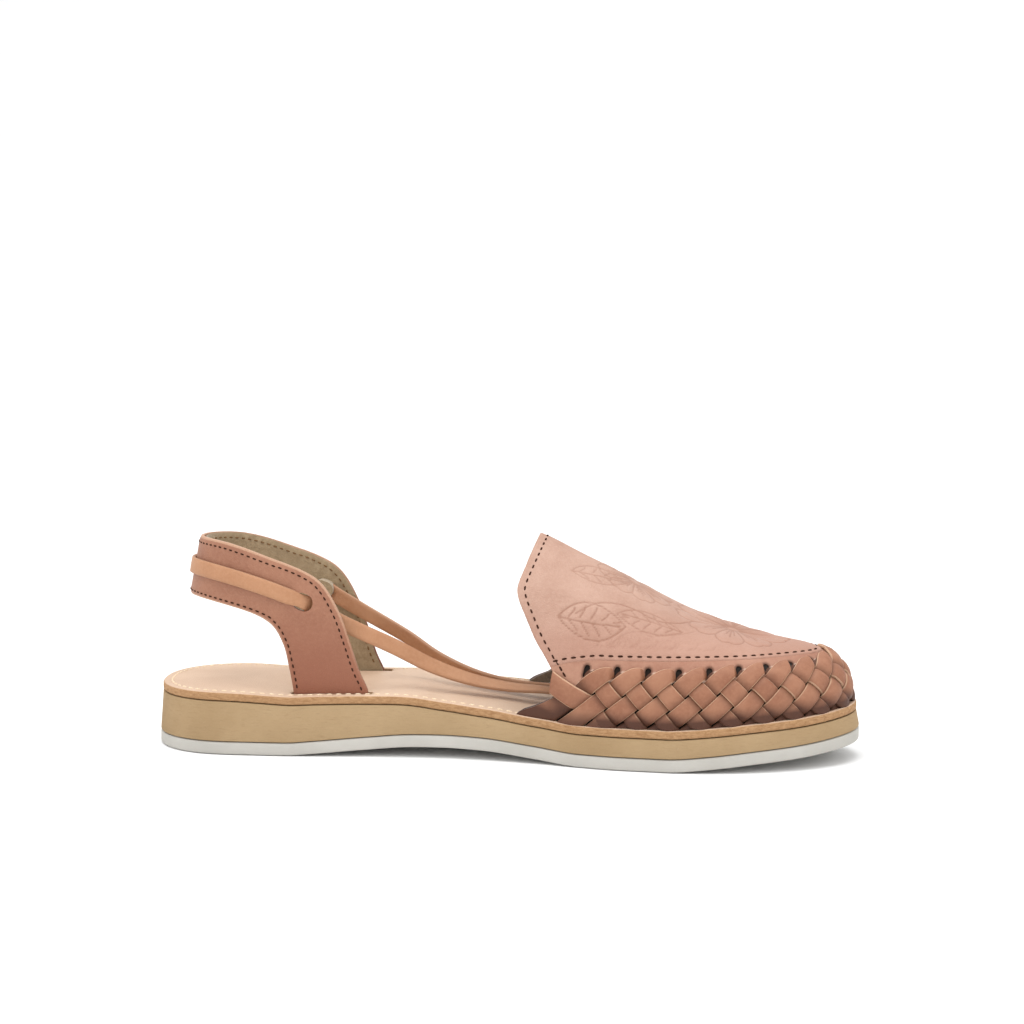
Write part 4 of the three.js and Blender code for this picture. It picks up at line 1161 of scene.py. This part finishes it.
def buildBraid():
    points, faces, edges, shades = [], [], [], []
    size = len(stripSection)
    for rising in (True, False):
        for i in range(braid["firstRising" if rising else "firstFalling"], stripCount + 5):
            around, up, height, shade = stripSheet(rising, i)
            rows = np.where(((around > 0.5) & (around < roundLength - 0.5)).all(axis=1))[0]
            if len(rows) < 9:
                continue
            around, up, height, shade = (v[rows[0]:rows[-1] + 1] for v in (around, up, height, shade))
            place, out = hoodFrame(around, up)
            skin = (place + out * height[..., None]).reshape(-1, 3)
            stripFaces = [list(face) for face in loftFaces(len(around), size)]
            edge = np.tile([row["raw"] for row in stripSection], len(around))
            shade = shade.reshape(-1)
            past = pastThroat(skin)
            if past.max() < 1.5:
                continue
            if past.min() < 0.5 and (rising or i > braid["firstFalling"]):
                extras = {"edge": edge, "shade": shade}
                trimmed = trimSheet(skin, skin, stripFaces, extras, [(pastThroat, 0.5, True)])
                skin, stripFaces = trimmed[0], closeHoles(trimmed[2])
                edge, shade = trimmed[3]["edge"], trimmed[3]["shade"]
            start = sum(len(part) for part in points)
            points.append(skin)
            faces += [tuple(v + start for v in face) for face in stripFaces]
            edges.append(edge)
            shades.append(shade)
    attributes = {"edge": np.concatenate(edges), "shade": np.concatenate(shades)}
    finish = leatherFinish("strip_leather", stripLook)
    makePiece("braid_strips", np.vstack(points), faces, finish, "vamp", 55, attributes)
    print("braid", len(faces))


# Stitches: short rounded lengths of thread, half sunk in the leather

vampStitch = {
    "plateInset": 1.6, "throatInset": 2.7, "dash": 2.0, "width": 0.68, "lift": 0.1,
    "crossInner": 30.4, "crossOuter": 26.6, "crossRun": 4.4, "crossTop": 21.6, "crossFall": 6.0,
}
strapStitch = {"upperInset": 2.0, "lowerInset": 1.5, "pitch": 2.45, "dash": 1.55, "width": 0.55, "lift": 0.02}
insoleStitch = {"inset": 3.2, "openTo": 104, "pitch": 3.4, "dash": 2.3, "width": 0.7, "lift": 0.03}


def stitchTemplate(sides=8, rings=7):
    points = []
    for k in range(rings):
        t = -1 + 2 * k / (rings - 1)
        fat = math.sqrt(max(1 - abs(t) ** 2.6, 0.0)) + 0.08
        for j in range(sides):
            turn = 2 * math.pi * j / sides
            points.append((t, fat * math.cos(turn), fat * math.sin(turn) - 0.25 * t * t))
    return np.array(points), loftFaces(rings, sides)


def stitchRow(line, outs, look, pitch):
    # places stitches along a line of points with their surface normals
    steps = np.concatenate([[0], np.cumsum(np.linalg.norm(np.diff(line, axis=0), axis=1))])
    template, templateFaces = stitchTemplate()
    points, faces = [], []
    for k in range(int(steps[-1] / pitch)):
        at = (k + 0.5) * pitch
        before, middle, after = (np.array([np.interp(v, steps, line[:, n]) for n in range(3)])
                                 for v in (at - 0.4, at, at + 0.4))
        out = unit(np.array([np.interp(at, steps, outs[:, n]) for n in range(3)]))
        run = unit(after - before)
        side = np.cross(out, run)
        placed = middle + out * look["lift"] + template[:, :1] * run * look["dash"] / 2
        placed = placed + template[:, 1:2] * side * look["width"] / 2
        placed = placed + template[:, 2:] * out * look["width"] * 0.42
        faces += [tuple(v + len(points) * len(template) for v in face) for face in templateFaces]
        points.append(placed)
    return np.vstack(points), faces


def joinRows(rows):
    points, faces, start = [], [], 0
    for rowPoints, rowFaces in rows:
        points.append(rowPoints)
        faces += [tuple(v + start for v in face) for face in rowFaces]
        start += len(rowPoints)
    return np.vstack(points), faces


def hoodNormals(line, grid):
    # surface normals for points that lie on the hood
    flat = grid.reshape(-1, 3)
    normals = unit(np.cross(np.gradient(grid, axis=0), np.gradient(grid, axis=1))).reshape(-1, 3)
    return np.array([normals[np.argmin(((flat - point) ** 2).sum(axis=1))] for point in line])


def buildVampStitches(grid):
    seamLine, throatEdge = plateEdges(grid)
    fromSeam = awayFrom(grid, seamLine) * np.sign(overSeam(grid)) - vampStitch["plateInset"]
    fromThroat = awayFrom(grid, throatEdge) * np.sign(pastThroat(grid)) - vampStitch["throatInset"]
    middle = grid.shape[1] // 2
    rows = []
    for way in (1, -1):
        line = levelLine(grid[:, ::way][:, :middle + 1], fromSeam[:, ::way][:, :middle + 1], True)
        rows.append({"line": line[pastThroat(line) > 1.2], "height": 0.72, "pitch": 3.35})
    line = levelLine(grid, fromThroat, False)
    rows.append({"line": line[overSeam(line) > vampStitch["plateInset"]], "height": 0.72, "pitch": 3.0})
    # from each corner of the throat down across the band
    drop = np.linspace(0, 1, 30)
    for start, way in ((vampStitch["crossInner"], 1), (roundLength - vampStitch["crossOuter"], -1)):
        up = vampStitch["crossTop"] - vampStitch["crossFall"] * drop
        line = hoodPoint(start + way * vampStitch["crossRun"] * drop, up)
        rows.append({"line": line, "height": 0.5, "pitch": 2.4})
    built = []
    for row in rows:
        line = evenly(row["line"], 400)
        outs = hoodNormals(line, grid)
        built.append(stitchRow(line + outs * row["height"], outs, vampStitch, row["pitch"]))
    points, faces = joinRows(built)
    makePiece("vamp_stitches", points, faces, darkThread, "vamp")


# Heel strap: the wall bent round the heel, unrolled as distance from the heel's middle and height

strap = {
    "thickness": 2.8, "back": 11.8, "halfWidth": 23, "shift": 1.2, "round": 33, "power": 2.15,
    "lowEdge": 52.8, "lean": 0.19, "taper": 0.0022, "top": 74.8, "legBack": 51.5, "legFront": 79,
    "shear": 0.02, "drop": 0.045, "slotClearance": 0.4, "arcShare": 1.35, "liningShare": 0.36,
    "liningInset": 0.25, "columns": 18, "rounding": 0.8, "holeClearance": 0.35, "stitchesEnd": 4.2,
}
strapUpper = table(
    "ahead up",
    (0.000, 1.000), (0.150, 1.000), (0.300, 0.992), (0.400, 0.973), (0.515, 0.936),
    (0.700, 0.864), (0.792, 0.796), (0.862, 0.672), (0.907, 0.541), (0.950, 0.400),
    (0.988, 0.310), (1.000, 0.240),
)
strapLower = table(
    "ahead up",
    (0.000, 0.728), (0.210, 0.718), (0.430, 0.673), (0.550, 0.614), (0.608, 0.519),
    (0.634, 0.410), (0.653, 0.300), (0.655, 0.240),
)
strapArc = strap["round"] * strap["arcShare"]
strapFoot = float(insoleTop(strap["legBack"])) - sole["insoleThickness"]


def strapBackAt(height):
    return strap["back"] + (height - strap["lowEdge"]) * strap["lean"]


def strapWidthAt(height):
    return strap["halfWidth"] * (1 - strap["taper"] * np.maximum(height - strap["lowEdge"], 0))


def strapReach(along, height):
    # distance round the wall from the heel's middle
    start = strapBackAt(height) + strap["round"]
    sine = np.clip((start - along) / strap["round"], 0, 1) ** (strap["power"] / 2)
    angle = np.arcsin(np.clip(sine, 0, 1))
    return np.where(along >= start, strapArc + along - start, strapArc * (1 - angle / (0.5 * np.pi)))


def strapPlace(side, reach, height, outward=0.0):
    # a point of the bent wall, outward from its middle
    back = strapBackAt(height)
    width = strapWidthAt(height)
    angle = (1 - np.clip(reach / strapArc, 0, 1)) * 0.5 * np.pi
    cos = np.maximum(np.cos(angle), 0) ** (2 / strap["power"])
    sin = np.sin(angle) ** (2 / strap["power"])
    start = back + strap["round"]
    x = np.where(reach >= strapArc, start + reach - strapArc, start - strap["round"] * sin)
    y = width * cos
    normal = unit(np.stack([-np.sin(angle) / strap["round"], np.cos(angle) / strap["halfWidth"]], axis=-1))
    x = x - sole["heelBehind"] + normal[..., 0] * outward
    return np.stack([x, side * (y + normal[..., 1] * outward) + strap["shift"], height + 0 * x], axis=-1)


def strapSag(across):
    # the outer side hangs lower
    return strap["drop"] * (across + strap["halfWidth"])


def strapEdge(rows):
    # one edge in the unrolled plane, from the heel's middle to the foot
    corners = [(row["ahead"] * strap["legFront"], row["up"] * strap["top"]) for row in rows]
    line = splineThrough(corners, 10)
    line = line[line[:, 0] >= strapBackAt(line[:, 1]) - 0.01]
    line = np.vstack([[strapBackAt(line[0, 1]), line[0, 1]], line])
    line = np.vstack([line, [line[-1, 0], strapFoot]])
    unrolled = np.column_stack([strapReach(line[:, 0], line[:, 1]), line[:, 1]])
    return evenly(unrolled, 121)


def slidEdge(line, side):
    # an edge moved as the outer side stands back and hangs lower
    across = strapPlace(side, line[:, 0], line[:, 1])[:, 1]
    back = strap["shear"] * (across + strap["halfWidth"]) * smoothRise(line[:, 0] / strapArc)
    return np.column_stack([line[:, 0] - back, np.maximum(line[:, 1] - strapSag(across), strapFoot)])


def strapRun():
    # inner foot, heel, outer foot: the side, and the wall's lower and upper edge there
    run = []
    for side in (-1, 1):
        lower, upper = slidEdge(strapEdge(strapLower), side), slidEdge(strapEdge(strapUpper), side)
        rows = [(side, low, high) for low, high in zip(lower, upper)]
        run += rows[:0:-1] if side < 0 else rows
    return run


def strapWallMesh(inner, outer, inset):
    # a closed band between two offsets from the wall's middle, its edges rounded
    columns, rounding = strap["columns"], strap["rounding"]
    ring = [(k / columns, True) for k in range(columns + 1)]
    ring += [(k / columns, False) for k in range(columns, -1, -1)]
    sections = []
    for side, low, high in strapRun():
        width = np.linalg.norm(high - low)
        section = []
        for share, outside in ring:
            distance = inset + share * (width - 2 * inset)
            rim = min(distance, width - distance) - inset
            drop = 0.5 * rounding * (1 - math.sqrt(max(1 - (1 - min(rim / rounding, 1)) ** 2, 0)))
            at = low + (high - low) * distance / width
            section.append(strapPlace(side, at[0], at[1], outer - drop if outside else inner + drop))
        sections.append(section)
    return np.array(sections)


strapLook = {
    "dark": (0.265, 0.113, 0.066), "light": (0.34, 0.158, 0.095), "grain": (0.43, 0.225, 0.145),
    "edge": (0.46, 0.27, 0.175), "roughness": 0.52, "specular": 0.3, "bump": 0.35, "cloudScale": 40,
    "low": (0.235, 0.083, 0.046), "lowFrom": 0.022, "lowTo": 0.060, "lowShare": 0.85,
}


def strapEdgeShare(count):
    # how close each point of a section is to the band's edges, 1 at an edge
    share = np.linspace(0, 1, strap["columns"] + 1)
    edge = np.clip(1 - np.minimum(share, 1 - share) * 34, 0, 1)
    return np.tile(edge, 2 * count)


def holeCutter(side):
    # the lace's hole: a slot through the leg, lying along the lace, with round ends
    tall = 0.5 * lace["width"] + strap["holeClearance"]
    slope = -lace["dip"] * lace["fall"] / (lace["holeAlong"] - strap["back"])
    turn = math.atan(slope)
    middle = lace["holeHeight"] - float(strapSag(side * strap["halfWidth"] + strap["shift"]))
    ring = []
    for spin in np.linspace(0, 2 * math.pi, 28, endpoint=False):
        end = lace["holeEnds"][1] if math.cos(spin) > 0 else lace["holeEnds"][0]
        u, v = end + tall * math.cos(spin), tall * math.sin(spin)
        ring.append((lace["holeAlong"] + u * math.cos(turn) - v * math.sin(turn),
                     middle + u * math.sin(turn) + v * math.cos(turn)))
    points = [strapPlace(side, strapReach(along, height), height, offset)
              for offset in (-6, 6) for along, height in ring]
    return addObject("hole", np.array(points), loftFaces(2, len(ring)))


def buildStrap():
    half = 0.5 * strap["thickness"]
    split = -half + strap["thickness"] * strap["liningShare"]
    leather = leatherFinish("strap_leather", strapLook)
    suede = suedeFinish("strap_lining", (0.27, 0.195, 0.115), (0.39, 0.295, 0.185))
    layers = [("heel_strap_leather", split, half, 0.0, leather),
              ("heel_strap_lining", -half, split - 0.05, strap["liningInset"], suede)]
    for name, low, high, inset, finish in layers:
        sections = strapWallMesh(low, high, inset)
        faces = loftFaces(len(sections), sections.shape[1])
        attributes = {"edge": strapEdgeShare(len(sections))}
        points = sections.reshape(-1, 3)
        piece = makePiece(name, points, faces, finish, "heel_strap", 50, attributes)
        cutWith(piece, [holeCutter(side) for side in (-1, 1)])
    threads = (("heel_strap_stitches", darkThread, 1), ("strap_lining_stitches", tanThread, -1))
    for name, thread, face in threads:
        rows = []
        for fromTop, inset in ((False, strapStitch["lowerInset"]), (True, strapStitch["upperInset"])):
            line, outs = [], []
            for side, low, high in strapRun():
                start, other = (high, low) if fromTop else (low, high)
                at = start + unit(other - start) * inset
                if at[1] > strapFoot + strap["stitchesEnd"]:
                    line.append(strapPlace(side, at[0], at[1], face * half))
                    outs.append(strapPlace(side, at[0], at[1], face * (half + 1)) - line[-1])
            rows.append(stitchRow(np.array(line), np.array(outs), strapStitch, strapStitch["pitch"]))
        points, faces = joinRows(rows)
        makePiece(name, points, faces, thread, "heel_strap")
    print("strap built")


def slotCutter(side):
    # the slit in the insole that a leg goes through
    clear = strap["slotClearance"]
    half = 0.5 * strap["thickness"] + clear
    back, front = strap["legBack"] - clear, strap["legFront"] + clear
    points = [strapPlace(side, strapReach(along, height), height, offset)
              for height in (strapFoot - 2, strapFoot + 8)
              for along, offset in ((back, -half), (front, -half), (front, half), (back, half))]
    return addObject("slot", np.array(points), loftFaces(2, 4))


# Lace: a flat thong round the strap, in at the holes and forward under the vamp

lace = {
    "width": 5.6, "thickness": 1.2, "holeAlong": 55.5, "holeHeight": 53.6, "fall": 10.8, "end": 163,
    "dip": 1.6, "standOff": 0.45, "diveReach": 6.5, "holeTurn": 0.55, "sagFade": 3, "pinch": 0.18,
    "holeEnds": (-1.0, 0.2),
}
strandRows = table(
    "ahead across up turn",
    (0.035, 0.87, 0.955, 5),
    (0.124, 0.80, 0.850, 12),
    (0.281, 0.56, 0.690, 26),
    (0.401, 0.39, 0.555, 42),
    (0.530, 0.28, 0.458, 58),
    (0.659, 0.23, 0.408, 72),
    (0.788, 0.215, 0.390, 82),
    (0.899, 0.21, 0.350, 87),
    (1.000, 0.21, 0.000, 90),
)


def laceHalf(side):
    # stations from the end under the vamp back to the heel's middle, with the face each one shows
    stations = []
    for row in reversed(strandRows):
        along = lace["holeAlong"] + row["ahead"] * (lace["end"] - lace["holeAlong"])
        floor = float(insoleTop(along)) + sole["seatGap"] + 0.5 * lace["thickness"]
        across = row["across"] * (side * strap["halfWidth"] + strap["shift"])
        sag = strapSag(across) * (1 - row["ahead"]) ** lace["sagFade"]
        turn = math.radians(row["turn"])
        at = (along - sole["heelBehind"], across, max(row["up"] * lace["holeHeight"] - sag, floor))
        stations.append((at, (0, side * math.cos(turn), math.sin(turn))))
    middle = strapPlace(side, strapReach(lace["holeAlong"], lace["holeHeight"]), lace["holeHeight"])
    middle[2] -= strapSag(middle[1])
    stations.append((middle, unit(np.array([lace["holeTurn"], side, 0.0]))))
    outside = 0.5 * strap["thickness"] + lace["standOff"] + 0.5 * lace["thickness"]
    first = float(strapReach(lace["holeAlong"] - lace["diveReach"], lace["holeHeight"]))
    for reach in np.linspace(first, 0, 12):
        along = strapPlace(side, reach, lace["holeHeight"])[0] + sole["heelBehind"]
        fall = np.clip((along - strap["back"]) / (lace["holeAlong"] - strap["back"]), 0, 1)
        height = lace["holeHeight"] + lace["fall"] * (1 - fall ** lace["dip"])
        at = strapPlace(side, reach, height, outside)
        out = unit(at - strapPlace(side, reach, height))
        at[2] -= strapSag(at[1])
        stations.append((at, (out[0], out[1], strap["lean"] * max(-out[0], 0))))
    return stations


laceLook = {
    "dark": (0.37, 0.175, 0.088), "light": (0.445, 0.226, 0.12), "grain": (0.50, 0.285, 0.165),
    "edge": (0.38, 0.205, 0.12), "roughness": 0.52, "specular": 0.3, "bump": 0.28, "cloudScale": 45,
}


# the thong's section, half its width and half its thickness taken as 1
laceSection = table(
    "across up raw",
    (-0.94, 1.0, 0.2), (-0.5, 1.06, 0), (0, 1.08, 0), (0.5, 1.06, 0), (0.94, 1.0, 0.2), (1.0, 0.6, 1),
    (1.0, -0.6, 1), (0.94, -1.0, 0.5), (0.5, -1.0, 0.3), (0, -1.0, 0.3), (-0.5, -1.0, 0.3),
    (-0.94, -1.0, 0.5), (-1.0, -0.6, 1), (-1.0, 0.6, 1),
)


def buildLace():
    halves = [laceHalf(-1), laceHalf(1)]
    stations = halves[0] + halves[1][-2::-1]
    line = splineThrough([at for at, face in stations], 9)
    faces = unit(splineThrough([face for at, face in stations], 9))
    run = unit(np.gradient(line, axis=0))
    faces = unit(faces - (faces * run).sum(axis=1, keepdims=True) * run)
    across = np.cross(run, faces)
    # pinched where it goes through the holes
    pinches = [half[len(strandRows)][0] + np.array((-1.5, 1.5 * side, 0))
               for half, side in zip(halves, (-1, 1))]
    near = np.min([np.linalg.norm(line - at, axis=1) for at in pinches], axis=0)
    halfWidth = 0.5 * lace["width"] * (1 - lace["pinch"] * np.exp(-(near / 2.6) ** 2))
    halfThickness = 0.5 * lace["thickness"]
    points = [[p + a * w * row["across"] + f * halfThickness * row["up"] for row in laceSection]
              for p, a, f, w in zip(line, across, faces, halfWidth)]
    attributes = {"edge": np.tile([row["raw"] for row in laceSection], len(line))}
    finish = leatherFinish("lace_leather", laceLook)
    makePiece("lace_thong", np.array(points).reshape(-1, 3), loftFaces(len(line), len(laceSection)), finish,
              "lace", 60, attributes)
    print("lace length mm", round(float(lineLength(line))))


def buildInsoleStitches():
    # pale thread inside the edge, all round the open part of the insole
    ring = outlineRing(sole["foamFlare"] + insoleStitch["inset"], insoleTop)
    ring = ring[ring[:, 0] < insoleStitch["openTo"]]
    inner, outer = ring[ring[:, 1] < -0.001], ring[ring[:, 1] >= -0.001]
    line = np.vstack([inner[np.argsort(-inner[:, 0])], outer[np.argsort(outer[:, 0])]])
    line = evenly(line, 500)
    outs = np.tile([0.0, 0.0, 1.0], (len(line), 1))
    points, faces = stitchRow(line, outs, insoleStitch, insoleStitch["pitch"])
    makePiece("insole_stitches", points, faces, paleThread, "insole")


# Floor, light and camera


studio = {"reach": 3.0, "front": -3.0, "back": 2.2, "bend": 0.8, "rise": 2.5, "drop": 0.0002}
lamps = [
    {"name": "top", "at": (0.0, -0.1, 1.3), "aim": (0.09, 0, 0), "size": 1.3, "power": 14},
    {"name": "front", "at": (-0.75, -1.3, 0.8), "aim": (0.09, 0, 0.03), "size": 1.0, "power": 5},
    {"name": "side", "at": (1.3, -0.5, 0.7), "aim": (0.09, 0, 0.03), "size": 0.9, "power": 3.5},
]


def buildStudio():
    finish = Finish("studio_floor", 0.9, 0.1)
    cloud = finish.noise(2.0, 2, 0.5)
    finish.colour(finish.blend(cloud * 0.2, (0.86, 0.86, 0.86), (0.84, 0.84, 0.84)))
    bend, bendStart = studio["bend"], studio["back"] - studio["bend"]
    profile = [(studio["front"], 0.0), (bendStart, 0.0)]
    for k in range(1, 13):
        turn = 0.5 * math.pi * k / 12
        profile.append((bendStart + bend * math.sin(turn), bend - bend * math.cos(turn)))
    profile.append((studio["back"], studio["rise"]))
    points = [(x, y, z - studio["drop"]) for x in (-studio["reach"], studio["reach"]) for y, z in profile]
    count = len(profile)
    mesh = bpy.data.meshes.new("floor")
    mesh.from_pydata(points, [], [(k, k + 1, k + 1 + count, k + count) for k in range(count - 1)])
    mesh.shade_smooth()
    mesh.materials.append(finish.material)
    floor = bpy.data.objects.new("floor", mesh)
    bpy.context.scene.collection.objects.link(floor)
    for row in lamps:
        light = bpy.data.lights.new(row["name"], "AREA")
        light.energy = row["power"]
        light.size = row["size"]
        lamp = bpy.data.objects.new(row["name"], light)
        lamp.location = row["at"]
        lamp.rotation_euler = (Vector(row["aim"]) - Vector(row["at"])).to_track_quat("-Z", "Y").to_euler()
        bpy.context.scene.collection.objects.link(lamp)
    world = bpy.data.worlds.new("studio")
    bpy.context.scene.world = world
    world.use_nodes = True
    world.node_tree.nodes["Background"].inputs["Color"].default_value = (1, 1, 1, 1)
    world.node_tree.nodes["Background"].inputs["Strength"].default_value = 1.0


# the camera's turn past the side, its height angle and its scale were fitted to the photo's outline
view = {
    "azimuth": 7.5, "elevation": 10, "distance": 1.5, "target": (0.095, 0, 0.035),
    "pixelsPerMetre": 2814, "targetPixel": (508, 647.8), "image": 1024, "sensor": 36,
}


def buildCamera():
    azimuth, elevation = math.radians(view["azimuth"]), math.radians(view["elevation"])
    back = Vector((math.sin(azimuth) * math.cos(elevation), -math.cos(azimuth) * math.cos(elevation),
                   math.sin(elevation)))
    right = Vector((math.cos(azimuth), math.sin(azimuth), 0))
    data = bpy.data.cameras.new("camera")
    data.sensor_width = view["sensor"]
    data.lens = view["pixelsPerMetre"] * view["distance"] / view["image"] * view["sensor"]
    data.shift_x = (view["image"] / 2 - view["targetPixel"][0]) / view["image"]
    data.shift_y = (view["targetPixel"][1] - view["image"] / 2) / view["image"]
    data.clip_start = 0.05
    camera = bpy.data.objects.new("camera", data)
    turn = Matrix((right, back.cross(right), back)).transposed().to_4x4()
    camera.matrix_world = Matrix.Translation(Vector(view["target"]) + back * view["distance"]) @ turn
    bpy.context.scene.collection.objects.link(camera)
    bpy.context.scene.camera = camera
    bpy.context.scene.view_settings.view_transform = "Standard"


buildCamera()
darkThread = threadFinish("dark_thread", (0.022, 0.008, 0.005), (0.055, 0.022, 0.013))
tanThread = threadFinish("tan_thread", (0.13, 0.07, 0.03), (0.22, 0.13, 0.065))
paleThread = threadFinish("pale_thread", (0.62, 0.47, 0.32), (0.82, 0.68, 0.50))
insole = buildSole()
cutWith(insole, [slotCutter(side) for side in (-1, 1)])
print("sole built")
hoodGrid = buildHood()
buildBraid()
buildVampStitches(hoodGrid)
buildStrap()
buildLace()
buildInsoleStitches()
buildStudio()
print("all built")
